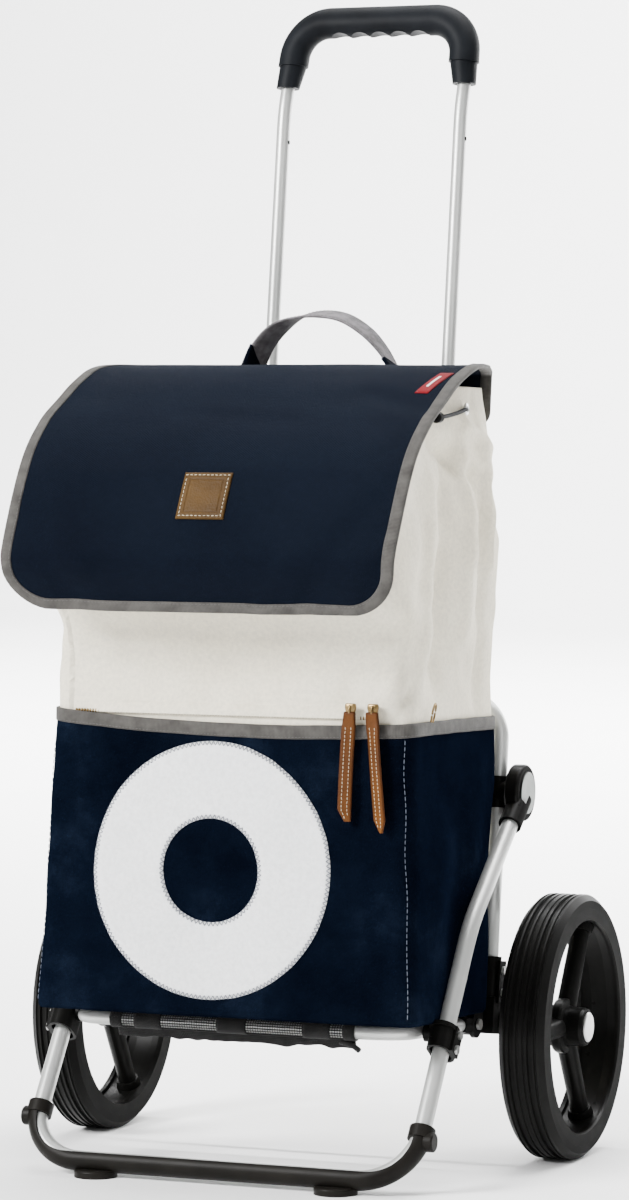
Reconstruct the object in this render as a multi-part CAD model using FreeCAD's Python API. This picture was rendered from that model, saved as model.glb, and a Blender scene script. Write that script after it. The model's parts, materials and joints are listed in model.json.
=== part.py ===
"""Two-wheeled shopping trolley: leaning tube frame, telescopic handle, folding platform and leg, canvas bag.

Frame: millimetres, +Z up, floor at Z = 0, +X to the right as seen from the front, front facing -Y.
The drawing below puts the wheel axle above the X axis; every piece is then moved back by AXLE_Y,
so that the origin lies under the middle of the bounding box.
"""
import FreeCAD, Part
import math
import os

V = FreeCAD.Vector
X_AXIS = V(1, 0, 0)
MIRROR = V(1, 0, 0)

# ---- driving dimensions -------------------------------------------------------------------
WHEEL_R = 125.0              # wheel radius, and the axle's height
AXLE_Y = 103.5               # where the axle lies in the saved parts
WHEEL_X = 238.7              # middle of each tyre
TYRE_WIDTH = 44.6
HUB_BORE = 11.0
RIM_R = 111.6                # outside of the rim's lip, where the tyre seats
AXLE_R = 5.0
RUNNING = 0.05               # radial clearance of a running fit

LEAN = 7.06                  # degrees that the rear frame leans back
FRAME_V = -10.9              # the tube plane lies this far in front of the axle
FRAME_R = 8.25
FRAME_WALL = 1.2
FRAME_HALF_LOW = 165.0       # half the distance between the tubes, below the shoulder
FRAME_HALF_TOP = 93.0        # the same at the handle
TUBE_BOTTOM_W = 11.0
SHOULDER_LOW_W = 288.0
SHOULDER_TOP_W = 338.0
SHOULDER_R = 38.0            # bend of the tube at both ends of its shoulder
FRAME_TOP_W = 618.0
CROSS_W = 120.0              # place of the cross bar on the leaning frame
CROSS_R = 6.0

HANDLE_R = 6.6
HANDLE_INSERT = 52.0         # length of handle tube inside the frame tube when pulled out
HANDLE_TOP_W = 932.0
PIN_HOLE_W = 848.0
GRIP_BOTTOM_W = 905.0
GRIP_TOP_W = 986.0
GRIP_R = 15.5
GRIP_CORNER_R = 36.0
GRIP_SOCKET = 23.0           # height of the tapered sockets below the grip
WAVES = 5                    # finger waves under the bar
WAVE_PITCH = 21.5
WAVE_R = 17.0

LEG_X = 190.0
LEG_R = 8.0
LEG_WALL = 1.4
KNEE_R = 150.0               # bend of the leg at its knee
LEG_PIVOT = (16.0, 343.0)    # y and z of the push-button knuckle
LEG_KNEE = (-124.0, 231.0)
LEG_ANGLE = 35.0             # lower leg, degrees from the vertical
FOOT_BAR_Z = 14.4
FOOT_CORNER_R = 52.0

PLATFORM_PIVOT = (-52.0, 129.0)
PLATFORM_FRONT = (-235.0, 141.0)
PLATFORM_X = 163.0
PLATFORM_R = 6.5
PLATFORM_CORNER_R = 34.0
NET_HALF = 126.0             # half widths of the net, its front hem and the webbing behind it
HEM_HALF = 122.0
WEBBING_HALF = 150.0

CLOTH = 3.0                  # thickness of a bag panel
FLAP_CLOTH = 3.5

os.makedirs("parts", exist_ok=True)


# ---- helpers ------------------------------------------------------------------------------
def save(name, shape):
    """Writes one sub-part; a group of loose solids becomes a compound."""
    solids = shape.Solids
    result = solids[0] if len(solids) == 1 else Part.makeCompound(solids)
    result.translate(V(0, AXLE_Y, 0))
    result.exportStep("parts/%s.step" % name)


def mirrored(shape):
    return shape.mirror(V(0, 0, 0), MIRROR)


def save_pair(name, right):
    """Saves the right-hand piece and its mirror image, for two pieces that move apart."""
    save(name + "_right", right)
    save(name + "_left", mirrored(right))


def save_both(name, right):
    """Saves the right-hand piece and its mirror image as one group."""
    save(name, Part.makeCompound([right, mirrored(right)]))


def leaning(x, v, w):
    """Point in the leaning frame: v across its plane, w up along it, from the axle."""
    a = math.radians(LEAN)
    return V(x, v * math.cos(a) + w * math.sin(a), WHEEL_R - v * math.sin(a) + w * math.cos(a))


UP_FRAME = leaning(0, 0, 1) - leaning(0, 0, 0)
ACROSS_FRAME = leaning(0, 1, 0) - leaning(0, 0, 0)


def cyl(radius, start, end):
    axis = end - start
    return Part.makeCylinder(radius, axis.Length, start, axis)


def cone(r1, r2, start, end):
    axis = end - start
    return Part.makeCone(r1, r2, axis.Length, start, axis)


def ring(outer, inner, start, end):
    return cyl(outer, start, end).cut(cyl(inner, start, end))


def box(x0, x1, y0, y1, z0, z1):
    return Part.makeBox(x1 - x0, y1 - y0, z1 - z0, V(x0, y0, z0))


def frame_box(x0, x1, v0, v1, w0, w1):
    """Box whose sides follow the leaning frame."""
    base = leaning(0, 0, 0)
    b = Part.makeBox(x1 - x0, v1 - v0, w1 - w0, V(x0, v0, w0))
    b.rotate(V(0, 0, 0), X_AXIS, -LEAN)
    b.translate(base)
    return b


def rounded_path(points, radii):
    """Straight runs through the points, joined by tangent arcs of the given radii."""
    edges = []
    last = points[0]
    for i in range(1, len(points) - 1):
        before = (points[i - 1] - points[i]).normalize()
        after = (points[i + 1] - points[i]).normalize()
        half = before.getAngle(after) / 2
        reach = radii[i - 1] / math.tan(half)
        start = points[i] + before * reach
        end = points[i] + after * reach
        centre_dir = (before + after).normalize()
        centre = points[i] + centre_dir * (radii[i - 1] / math.sin(half))
        middle = centre - centre_dir * radii[i - 1]
        edges.append(Part.LineSegment(last, start).toShape())
        edges.append(Part.Arc(start, middle, end).toShape())
        last = end
    edges.append(Part.LineSegment(last, points[-1]).toShape())
    return Part.Wire(edges)


def sweep(path, radius):
    first = path.OrderedEdges[0]
    start = first.valueAt(first.FirstParameter)
    direction = first.tangentAt(first.FirstParameter)
    profile = Part.Wire([Part.makeCircle(radius, start, direction)])
    return path.makePipeShell([profile], True, False)


def pipe(path, radius, wall):
    return sweep(path, radius).cut(sweep(path, radius - wall))


def polyhedron(faces):
    """Closed solid from flat polygons, each a list of points; four-sided ones may be twisted."""
    made = []
    for pts in faces:
        for i in range(1, len(pts) - 1):
            made.append(Part.Face(Part.makePolygon([pts[0], pts[i], pts[i + 1], pts[0]])))
    solid = Part.Solid(Part.Shell(made))
    if solid.Volume < 0:
        solid.reverse()
    return solid


def slab(outer, inner):
    """Solid between two four-cornered sheets whose corners match."""
    a, b, c, d = outer
    e, f, g, h = inner
    return polyhedron([[a, b, c, d], [e, h, g, f], [a, e, f, b], [b, f, g, c], [d, c, g, h], [d, h, e, a]])


def joined(parts):
    result = parts[0]
    for part in parts[1:]:
        result = result.fuse(part)
    return result


def lathe(profile, centre_x, y=0.0, z=WHEEL_R):
    """Turns a closed outline of (x, r) points about the wheel axis."""
    pts = [V(centre_x + x, y, z + r) for x, r in profile]
    face = Part.Face(Part.makePolygon(pts + [pts[0]]))
    return face.revolve(V(0, y, z), X_AXIS, 360)


# ---- rear frame ---------------------------------------------------------------------------
KNUCKLE = V(0, LEG_PIVOT[0], LEG_PIVOT[1])
HINGE = V(0, PLATFORM_PIVOT[0], PLATFORM_PIVOT[1])
KNUCKLE_W = (KNUCKLE - leaning(0, 0, 0)).dot(UP_FRAME)
PIN_R = 4.0                  # pin of the leg's knuckle
HINGE_PIN_R = 3.0            # pins at the platform's hinge and at its sliding brackets
PLATE_X = 176.4              # inner face of the steel plate on the axle bracket
PLATE_THICK = 2.4
PLATE_BOLTS_W = (28.0, 49.0)
BOSS_R = 12.0                # knuckle's boss on the frame tube
COLLAR_R = 10.6
BUTTON_W = FRAME_TOP_W - 12  # height buttons and the hole they enter
BUTTON_R = 5.0


def at_x(point, x):
    return V(x, point.y, point.z)


def main_tube():
    path = rounded_path(
        [
            leaning(FRAME_HALF_LOW, FRAME_V, TUBE_BOTTOM_W),
            leaning(FRAME_HALF_LOW, FRAME_V, SHOULDER_LOW_W),
            leaning(FRAME_HALF_TOP, FRAME_V, SHOULDER_TOP_W),
            leaning(FRAME_HALF_TOP, FRAME_V, FRAME_TOP_W),
        ],
        [SHOULDER_R, SHOULDER_R],
    )
    tube = pipe(path, FRAME_R, FRAME_WALL)
    return tube.cut(cyl(PIN_R, at_x(KNUCKLE, 150), at_x(KNUCKLE, 181)))


def axle_bracket():
    """Black block that holds the tube's foot and the axle, with the platform's hinge tongue."""
    block = frame_box(154, 176, -24, 11, -11, 24)
    sleeve = cyl(11.3, leaning(FRAME_HALF_LOW, FRAME_V, 12), leaning(FRAME_HALF_LOW, FRAME_V, 62))
    boss = cyl(11.5, V(150, 0, WHEEL_R), V(186, 0, WHEEL_R))
    eye = cyl(10.5, at_x(HINGE, 160), at_x(HINGE, 166))
    arm = flat_plate([(-52, 139.3), (-20, 139.3), (-20, 119), (-52, 118.7)], 160, 166)
    body = joined([block, sleeve, boss, eye, arm])
    seat = cyl(FRAME_R, leaning(FRAME_HALF_LOW, FRAME_V, TUBE_BOTTOM_W), leaning(FRAME_HALF_LOW, FRAME_V, 70))
    body = body.cut(seat)
    body = body.cut(cyl(AXLE_R, V(100, 0, WHEEL_R), V(250, 0, WHEEL_R)))
    return body.cut(cyl(HINGE_PIN_R, at_x(HINGE, 150), at_x(HINGE, 180)))


def flat_plate(outline, x0, x1):
    """Flat plate: an outline of (y, z) points, from x0 to x1."""
    pts = [V(x0, y, z) for y, z in outline]
    face = Part.Face(Part.makePolygon(pts + [pts[0]]))
    return face.extrude(V(x1 - x0, 0, 0))


def bracket_plate():
    return frame_box(PLATE_X, PLATE_X + PLATE_THICK, -19, -2, 18, 58)


def bracket_bolts():
    heads = []
    for w in PLATE_BOLTS_W:
        p = leaning(PLATE_X + PLATE_THICK, FRAME_V, w)
        heads.append(cyl(4.0, p, p + V(2.6, 0, 0)))
    return joined(heads)


def knuckle_mount():
    """Clamp on the main tube with the round boss that the leg turns on."""
    low = leaning(FRAME_HALF_LOW, FRAME_V, KNUCKLE_W - 15)
    high = leaning(FRAME_HALF_LOW, FRAME_V, KNUCKLE_W + 15)
    body = cyl(10.7, low, high).fuse(cyl(BOSS_R, at_x(KNUCKLE, 165), at_x(KNUCKLE, 180.0)))
    body = body.cut(cyl(FRAME_R, low - UP_FRAME, high + UP_FRAME))
    return body.cut(cyl(PIN_R, at_x(KNUCKLE, 150), at_x(KNUCKLE, 182)))


def knuckle_pin():
    shaft = cyl(PIN_R, at_x(KNUCKLE, 153.8), at_x(KNUCKLE, 188.5))
    return shaft.fuse(cyl(6.2, at_x(KNUCKLE, 150.5), at_x(KNUCKLE, 153.8)))


def hinge_pin():
    shaft = cyl(HINGE_PIN_R, at_x(HINGE, 152.6), at_x(HINGE, 171.2))
    head = cyl(5.0, at_x(HINGE, 171.2), at_x(HINGE, 174.2))
    nut = cyl(4.6, at_x(HINGE, 151.0), at_x(HINGE, 154.9))
    return joined([shaft, head, nut])


def axle():
    return cyl(AXLE_R, V(-259, 0, WHEEL_R), V(259, 0, WHEEL_R))


def cross_bar(w, half, radius, inset):
    start = leaning(-half + inset, FRAME_V, w)
    return cyl(radius, start, leaning(half - inset, FRAME_V, w))


def top_collar():
    """Plastic collar on the mouth of the frame tube; the handle tube slides through it."""
    low = leaning(FRAME_HALF_TOP, FRAME_V, FRAME_TOP_W - 26)
    mouth = leaning(FRAME_HALF_TOP, FRAME_V, FRAME_TOP_W)
    top = leaning(FRAME_HALF_TOP, FRAME_V, FRAME_TOP_W + 6)
    body = cyl(COLLAR_R, low, top)
    body = body.cut(cyl(FRAME_R, low - UP_FRAME, mouth))
    body = body.cut(cyl(HANDLE_R + RUNNING, low, top + UP_FRAME))
    side = leaning(FRAME_HALF_TOP, FRAME_V, BUTTON_W)
    housing = cyl(7.5, side + V(-17, 0, 0), side + V(-9.6, 0, 0))
    body = body.fuse(housing.cut(cyl(FRAME_R, low - UP_FRAME, mouth)))
    return body.cut(cyl(BUTTON_R + 0.1, side + V(-20, 0, 0), side + V(-9.0, 0, 0)))


def height_button():
    side = leaning(FRAME_HALF_TOP, FRAME_V, BUTTON_W)
    return cyl(BUTTON_R, side + V(-20.5, 0, 0), side + V(-12.4, 0, 0))


# ---- handle -------------------------------------------------------------------------------
def handle_tube():
    low = leaning(FRAME_HALF_TOP, FRAME_V, FRAME_TOP_W - HANDLE_INSERT)
    top = leaning(FRAME_HALF_TOP, FRAME_V, HANDLE_TOP_W)
    tube = ring(HANDLE_R, HANDLE_R - FRAME_WALL, low, top)
    for w in (PIN_HOLE_W, BUTTON_W):
        p = leaning(FRAME_HALF_TOP, FRAME_V, w)
        tube = tube.cut(cyl(2.6, p + V(-20, 0, 0), p + V(20, 0, 0)))
    return tube


def grip():
    """Padded plastic grip: two sockets, round shoulders and a bar with finger waves below."""
    half = FRAME_HALF_TOP
    bar_w = GRIP_TOP_W - GRIP_R
    path = rounded_path(
        [
            leaning(half, FRAME_V, GRIP_BOTTOM_W + GRIP_SOCKET - 1),
            leaning(half, FRAME_V, bar_w),
            leaning(-half, FRAME_V, bar_w),
            leaning(-half, FRAME_V, GRIP_BOTTOM_W + GRIP_SOCKET - 1),
        ],
        [GRIP_CORNER_R, GRIP_CORNER_R],
    )
    body = sweep(path, GRIP_R)
    for side in (-1, 1):
        low = leaning(side * half, FRAME_V, GRIP_BOTTOM_W)
        mid = leaning(side * half, FRAME_V, GRIP_BOTTOM_W + GRIP_SOCKET)
        body = body.fuse(cone(11.5, 14.0, low, mid))
    for i in range(WAVES):
        x = (i - (WAVES - 1) / 2) * WAVE_PITCH
        centre = leaning(x, FRAME_V - 20, bar_w - 29.0)
        body = body.cut(Part.makeCylinder(WAVE_R, 40, centre, ACROSS_FRAME))
    for side in (-1, 1):
        low = leaning(side * half, FRAME_V, GRIP_BOTTOM_W - 1)
        body = body.cut(cyl(HANDLE_R, low, leaning(side * half, FRAME_V, HANDLE_TOP_W)))
    return body


# ---- leg ----------------------------------------------------------------------------------
KNEE = V(0, LEG_KNEE[0], LEG_KNEE[1])
LEG_DOWN = V(0, -math.sin(math.radians(LEG_ANGLE)), -math.cos(math.radians(LEG_ANGLE)))
TO_KNEE = (KNEE - KNUCKLE).normalize()
LEG_END_T = (LEG_KNEE[1] - FOOT_BAR_Z) / math.cos(math.radians(LEG_ANGLE))
FOOT_BAR = KNEE + LEG_DOWN * LEG_END_T
COVER_START_T = LEG_END_T - FOOT_CORNER_R - 2
COVER_RING = 12.0
COVER_R = 10.6
COVER_CORNER_R = 38.0       # inner edge of the cover at the corners
PAD_FOOT_X = 119.0
PAD_FOOT_R = 20.0
HEAD_R = 27.0               # round head of the leg, and the button in it
RELEASE_R = 20.0


def leg_tube():
    start = KNUCKLE + TO_KNEE * 26
    points = [at_x(start, LEG_X), at_x(KNEE, LEG_X), at_x(FOOT_BAR, LEG_X)]
    points += [at_x(p, -p.x) for p in reversed(points)]
    path = rounded_path(points, [KNEE_R, FOOT_CORNER_R, FOOT_CORNER_R, KNEE_R])
    return pipe(path, LEG_R, LEG_WALL)


def foot_path(extra):
    start = KNEE + LEG_DOWN * (COVER_START_T - extra)
    return rounded_path(
        [at_x(start, LEG_X), at_x(FOOT_BAR, LEG_X), at_x(FOOT_BAR, -LEG_X), at_x(start, -LEG_X)],
        [FOOT_CORNER_R, FOOT_CORNER_R],
    )


def foot_inside(margin, depth):
    """Block that fills the U between the legs, above the foot bar, up to margin from the centre line."""
    half = LEG_X - margin
    low = FOOT_BAR - LEG_DOWN * margin
    high = KNEE + LEG_DOWN * (COVER_START_T + COVER_RING)
    corner = COVER_CORNER_R
    path = rounded_path(
        [at_x(high, half), at_x(low, half), at_x(low, -half), at_x(high, -half)],
        [corner, corner],
    )
    closing = Part.makePolygon([at_x(high, -half), at_x(high, half)])
    across = LEG_DOWN.cross(X_AXIS).normalize() * depth
    face = Part.Face(Part.Wire(path.OrderedEdges + closing.Edges))
    face.translate(across * -1)
    return face.extrude(across * 2)


def foot_cover():
    """Rubber channel round the outside of the foot bar and its corners, with closed, buttoned ends."""
    body = sweep(foot_path(0), COVER_R)
    for side in (-1, 1):
        start = at_x(KNEE + LEG_DOWN * COVER_START_T, side * LEG_X)
        body = body.fuse(ring(COVER_R + 1.4, LEG_R, start, start + LEG_DOWN * COVER_RING))
        middle = start + LEG_DOWN * (COVER_RING + 1)
        button = cyl(9.0, middle + V(side * 5, 0, 0), middle + V(side * 14.5, 0, 0))
        body = body.fuse(button.makeFillet(1.8, [e for e in button.Edges if e.Length > 50]))
    body = body.cut(foot_inside(3.0, 30.0))
    return body.cut(sweep(foot_path(5), LEG_R))


def foot_pad():
    """Round foot under the rubber cover."""
    middle = at_x(FOOT_BAR, PAD_FOOT_X)
    low = V(middle.x, middle.y - 2, 0)
    pad = cyl(PAD_FOOT_R, low, low + V(0, 0, 7.0))
    pad = pad.makeFillet(2.2, [e for e in pad.Edges if e.Length > 100 and e.BoundBox.ZMax > 6])
    return pad.cut(cyl(COVER_R, at_x(FOOT_BAR, PAD_FOOT_X - 40), at_x(FOOT_BAR, PAD_FOOT_X + 40)))


def leg_knuckle():
    """Round head on the leg's end: turns on the boss and holds the release button."""
    head = cyl(HEAD_R, at_x(KNUCKLE, 180.3), at_x(KNUCKLE, 194.6))
    head = head.makeFillet(3.2, [e for e in head.Edges if e.Length > 100])
    socket = cyl(11.0, at_x(KNUCKLE + TO_KNEE * 8, LEG_X), at_x(KNUCKLE + TO_KNEE * 45, LEG_X))
    body = head.fuse(socket.cut(cyl(24.5, at_x(KNUCKLE, 165), at_x(KNUCKLE, 180.3))))
    body = body.cut(cyl(RELEASE_R + 0.3, at_x(KNUCKLE, 190.0), at_x(KNUCKLE, 200)))
    body = body.cut(cyl(PIN_R + RUNNING, at_x(KNUCKLE, 179), at_x(KNUCKLE, 189.0)))
    tip = at_x(KNUCKLE + TO_KNEE * 26, LEG_X)
    return body.cut(cyl(LEG_R, tip, at_x(KNUCKLE + TO_KNEE * 60, LEG_X)))


def release_button():
    disc = cyl(RELEASE_R, at_x(KNUCKLE, 192.8), at_x(KNUCKLE, 196.4))
    rim = [e for e in disc.Edges if e.Length > 100 and e.CenterOfMass.x > 195]
    return disc.makeFillet(1.2, rim)


# ---- platform and net ---------------------------------------------------------------------
FRONT = V(0, PLATFORM_FRONT[0], PLATFORM_FRONT[1])
FORWARD = (FRONT - HINGE).normalize()
FORK_FROM = 14.0
TUBE_FROM = 29.0
# the leg axis crosses the platform axis at the sliding bracket
CROSS_T = ((KNEE - HINGE).cross(FORWARD)).x / (FORWARD.cross(LEG_DOWN)).x
CROSSING = KNEE + LEG_DOWN * CROSS_T
SLEEVE_R = 11.3
SLEEVE_FROM = -4.0           # ends of the sliding bracket along the leg, from the cross pin
SLEEVE_TO = 21.0
SLEEVE_PLAY = 6.2            # the sleeve's slot is this much longer each way than its width
PAD_X = 14.0
PIN_END = 178.0


def platform_tube():
    points = [at_x(HINGE + FORWARD * TUBE_FROM, PLATFORM_X), at_x(FRONT, PLATFORM_X)]
    points += [at_x(p, -p.x) for p in reversed(points)]
    tube = pipe(rounded_path(points, [PLATFORM_CORNER_R, PLATFORM_CORNER_R]), PLATFORM_R, FRAME_WALL)
    return tube.cut(cyl(HINGE_PIN_R, at_x(CROSSING, -180), at_x(CROSSING, 180)))


def platform_end():
    """Forked plug in the platform tube, hinged on the frame's tongue."""
    inner = cyl(10.5, at_x(HINGE, 155.2), at_x(HINGE, 159.7))
    outer = cyl(13.0, at_x(HINGE, 166.3), at_x(HINGE, 170.7))
    root = at_x(HINGE + FORWARD * FORK_FROM, PLATFORM_X)
    end = at_x(HINGE + FORWARD * TUBE_FROM, PLATFORM_X)
    base = cyl(7.8, root, end)
    cheeks = []
    for x0, x1 in ((155.4, 159.7), (166.3, 170.5)):
        side = Part.makeBox(x1 - x0, TUBE_FROM, 13, V(x0, -TUBE_FROM, -6.5))
        side.rotate(V(0, 0, 0), X_AXIS, -math.degrees(math.atan2(FORWARD.z, -FORWARD.y)))
        side.translate(HINGE)
        cheeks.append(side)
    plug = cyl(PLATFORM_R - FRAME_WALL, end, end + FORWARD * 16)
    body = joined([inner, outer, base, plug] + cheeks)
    return body.cut(cyl(HINGE_PIN_R + RUNNING, at_x(HINGE, 150), at_x(HINGE, 178)))


def cross_pin():
    """Headed pin through the platform tube, on which the sliding bracket turns."""
    shaft = cyl(HINGE_PIN_R, at_x(CROSSING, 155), at_x(CROSSING, PIN_END))
    return shaft.fuse(cyl(5.2, at_x(CROSSING, 152.4), at_x(CROSSING, 156.2)))


def obround(radius, start, end):
    """Solid of racetrack section along the leg, long in the plane of the fold."""
    across = LEG_DOWN.cross(X_AXIS).normalize() * SLEEVE_PLAY
    corners = []
    for middle in (start, end):
        for x, side in ((-radius, -1), (radius, -1), (radius, 1), (-radius, 1)):
            corners.append(middle + V(x, 0, 0) + across * side)
    pieces = [slab(corners[:4], corners[4:])]
    for side in (-1, 1):
        pieces.append(cyl(radius, start + across * side, end + across * side))
    return joined(pieces)


def slide_bracket():
    """Slotted sleeve round the lower leg, hinged on the platform's cross pin."""
    top = at_x(CROSSING + LEG_DOWN * SLEEVE_FROM, LEG_X)
    end = at_x(CROSSING + LEG_DOWN * SLEEVE_TO, LEG_X)
    body = obround(SLEEVE_R, top, end)
    mouth = obround(SLEEVE_R + 1.7, top, top + LEG_DOWN * 4)
    boss = cyl(8.5, at_x(CROSSING, 171.0), at_x(CROSSING, LEG_X))
    pad = Part.makeBox(PAD_X, 17, SLEEVE_TO - SLEEVE_FROM, V(LEG_X, -8.5, -SLEEVE_TO))
    pad.rotate(V(0, 0, 0), X_AXIS, -LEG_ANGLE)
    pad.translate(CROSSING)
    body = joined([body, mouth, boss, pad])
    body = body.cut(obround(LEG_R + 0.35, top - LEG_DOWN * 5, end + LEG_DOWN * 5))
    return body.cut(cyl(HINGE_PIN_R + RUNNING, at_x(CROSSING, 165), at_x(CROSSING, PIN_END + 0.3)))


def slide_bracket_screws():
    heads = []
    middle = (SLEEVE_FROM + SLEEVE_TO) / 2
    for t in (middle - 7.5, middle + 7.5):
        p = at_x(CROSSING + LEG_DOWN * t, LEG_X + PAD_X)
        heads.append(cyl(4.2, p, p + V(2.4, 0, 0)))
    return joined(heads)


def platform_point(x, along, height):
    """Point on the platform: along it from its hinge, and above its plane."""
    up = FORWARD.cross(X_AXIS).normalize()
    return at_x(HINGE + FORWARD * along + up * height, x)


PLATFORM_LENGTH = (FRONT - HINGE).Length


def platform_slab(half, from_along, to_along, low, high):
    corners = []
    for height in (low, high):
        for x, along in ((-half, from_along), (half, from_along), (half, to_along), (-half, to_along)):
            corners.append(platform_point(x, along, height))
    return slab(corners[:4], corners[4:])


def net_sling():
    return platform_slab(NET_HALF, 42.0, PLATFORM_LENGTH - 9, -6.0, -3.6)


def net_hem():
    """Sleeve of the net's front edge round the platform's front bar."""
    front = platform_point(0, PLATFORM_LENGTH, 0)
    return ring(PLATFORM_R + 1.0, PLATFORM_R, at_x(front, -HEM_HALF), at_x(front, HEM_HALF))


def net_rear_webbing():
    return platform_slab(WEBBING_HALF, 28.5, 41.5, -6.4, -4.0)


# ---- wheel --------------------------------------------------------------------------------
# middle, half width and depth of each groove round the tread
GROOVES = [(-14.5, 1.5, 1.5), (-9.0, 2.6, 2.6), (-3.2, 1.5, 1.4), (3.2, 1.5, 1.4), (9.0, 2.6, 2.6), (14.5, 1.5, 1.5)]


def tyre():
    half = TYRE_WIDTH / 2
    profile = [(-half, RIM_R), (-half, WHEEL_R - 6), (-half + 5, WHEEL_R - 1)]
    for x, width, depth in GROOVES:
        profile += [(x - width, WHEEL_R - 0.3), (x - width + 0.9, WHEEL_R - depth)]
        profile += [(x + width - 0.9, WHEEL_R - depth), (x + width, WHEEL_R)]
    profile += [(half - 5, WHEEL_R - 1), (half, WHEEL_R - 6), (half, RIM_R)]
    return lathe(profile, WHEEL_X)


SPOKE_ANGLES = (60, 180, 300)


def rim():
    """Moulded wheel: barrel, three round spokes and the hub."""
    half = TYRE_WIDTH / 2
    barrel = [(-half, RIM_R), (half, RIM_R), (half, 101), (half - 2, 100), (half - 5, 100), (half - 6, 103.5)]
    barrel += [(8, 104.5), (-8, 104.5), (-half + 6, 103.5), (-half + 5, 100), (-half, 101)]
    body = lathe(barrel, WHEEL_X)
    hub = [(-30.5, 9), (-30.5, 17), (-24, 19.5), (-7, 19.5), (-6, 25), (-4, 26), (2, 26), (4, 25), (5, 19.5)]
    hub += [(8, 18.5), (20, 18), (23, 17), (24, 15.8), (24, 14.2), (21.5, 14.2), (21.5, 9)]
    body = body.fuse(lathe(hub, WHEEL_X))
    centre = V(WHEEL_X - 1, 0, WHEEL_R)
    for angle in SPOKE_ANGLES:
        a = math.radians(angle)
        out = V(0, math.cos(a), math.sin(a))
        body = body.fuse(cone(9.6, 8.6, centre + out * 17, centre + out * 105.5))
        body = body.fuse(cone(10.6, 12.4, centre + out * 97, centre + out * 104.5))
    return body.cut(cyl(HUB_BORE, V(200, 0, WHEEL_R), V(270, 0, WHEEL_R)))


BEARING_X = (208.3, 246.5)   # inner faces of the two bearings of a wheel
BEARING_WIDTH = 8.0


def bearing(x):
    return ring(HUB_BORE - RUNNING, AXLE_R, V(x, 0, WHEEL_R), V(x + BEARING_WIDTH, 0, WHEEL_R))


def hub_cap():
    cap = [(21.7, 0), (21.7, 14), (24.6, 14), (25.6, 12.8), (25.9, 0)]
    return lathe(cap, WHEEL_X)


def axle_clip():
    return ring(7.8, AXLE_R, V(255.0, 0, WHEEL_R), V(256.6, 0, WHEEL_R))


# ---- bag ----------------------------------------------------------------------------------
# Rings of the bag's outside, bottom to top: front y and z, back y and z, half width in front and behind.
BAG = [
    (-264, 150, -30, 143, 179, 172),
    (-251, 425, -3, 420, 177, 171),
    (-257, 500, 8, 500, 178, 167),
    (-298, 572, 18, 570, 179, 163),
    (-280, 640, 28, 640, 178, 160),
    (-234, 690, 35, 690, 175, 150),
    (-150, 728, 41, 728, 168, 141),
]
POCKET_TOP = 1               # index of the ring at the top of the navy pocket


def bag_corner(level, front, side, inset):
    fy, fz, by, bz, fw, bw = BAG[level]
    if front:
        return V(side * (fw - inset), fy + inset, fz)
    return V(side * (bw - inset), by - inset, bz)


def bag_wall(face, levels, outer, inner):
    """One side of the bag between rings; front, back, left or right, from one inset to another."""
    ends = {
        "front": ((True, -1), (True, 1)),
        "back": ((False, 1), (False, -1)),
        "right": ((True, 1), (False, 1)),
        "left": ((False, -1), (True, -1)),
    }[face]
    pieces = []
    for low, high in zip(levels, levels[1:]):
        sheets = []
        for inset in (outer, inner):
            sheet = [bag_corner(low, *ends[0], inset), bag_corner(low, *ends[1], inset)]
            sheet += [bag_corner(high, *ends[1], inset), bag_corner(high, *ends[0], inset)]
            sheets.append(sheet)
        pieces.append(slab(*sheets))
    return joined(pieces)


def bag_bottom():
    low = [bag_corner(0, f, s, CLOTH + 0.4) for f, s in ((True, -1), (True, 1), (False, 1), (False, -1))]
    return slab(low, [p + V(0, 0, CLOTH) for p in low])


def base_board():
    low = [bag_corner(0, f, s, 14) for f, s in ((True, -1), (True, 1), (False, 1), (False, -1))]
    low = [p + V(0, 0, CLOTH + 1.5) for p in low]
    return slab(low, [p + V(0, 0, 2.5) for p in low])


BINDING_Z = (409, 421)       # heights of the tape on the pocket's edge, and of the zip
ZIP_TAPE_Z = (428, 442)
ZIP_TAPE_HALF = 163


def pocket_binding():
    """Woven tape over the pocket's top edge, round the front and both sides."""
    pieces = []
    for face in ("front", "left", "right"):
        pieces.append(bag_wall(face, [0, 1], -2.0, -0.2))
    band = box(-260, 260, -320, 120, *BINDING_Z)
    return Part.makeCompound([piece.common(band) for piece in pieces])


def zip_tape():
    front = bag_wall("front", [1, 2], -1.4, -0.2)
    return front.common(box(-ZIP_TAPE_HALF, ZIP_TAPE_HALF, -320, 0, *ZIP_TAPE_Z))


# Outside of the flap, from its hinge over the top and down the front, as (y, z, half width).
FLAP = [
    (-60, 748, 181),
    (-124, 747, 194),
    (-170, 735, 194),
    (-210, 717, 194),
    (-248, 696, 194),
    (-288, 658, 193),
    (-327, 588, 192),
    (-333, 560, 191),
    (-318, 522, 187),
]
FLAP_BACK = [(-58, 748, 181), (45, 744, 146), (50, 693, 142.5)]
BINDING = 10.5


def flap_rows(profile, facing):
    """Profile points with the half width and the unit vector that points into the flap."""
    rows = []
    for i, (y, z, w) in enumerate(profile):
        a = profile[max(i - 1, 0)]
        b = profile[min(i + 1, len(profile) - 1)]
        inward = V(0, -(b[1] - a[1]), b[0] - a[0]).normalize() * facing
        rows.append((V(0, y, z), w, inward))
    return rows


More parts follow.
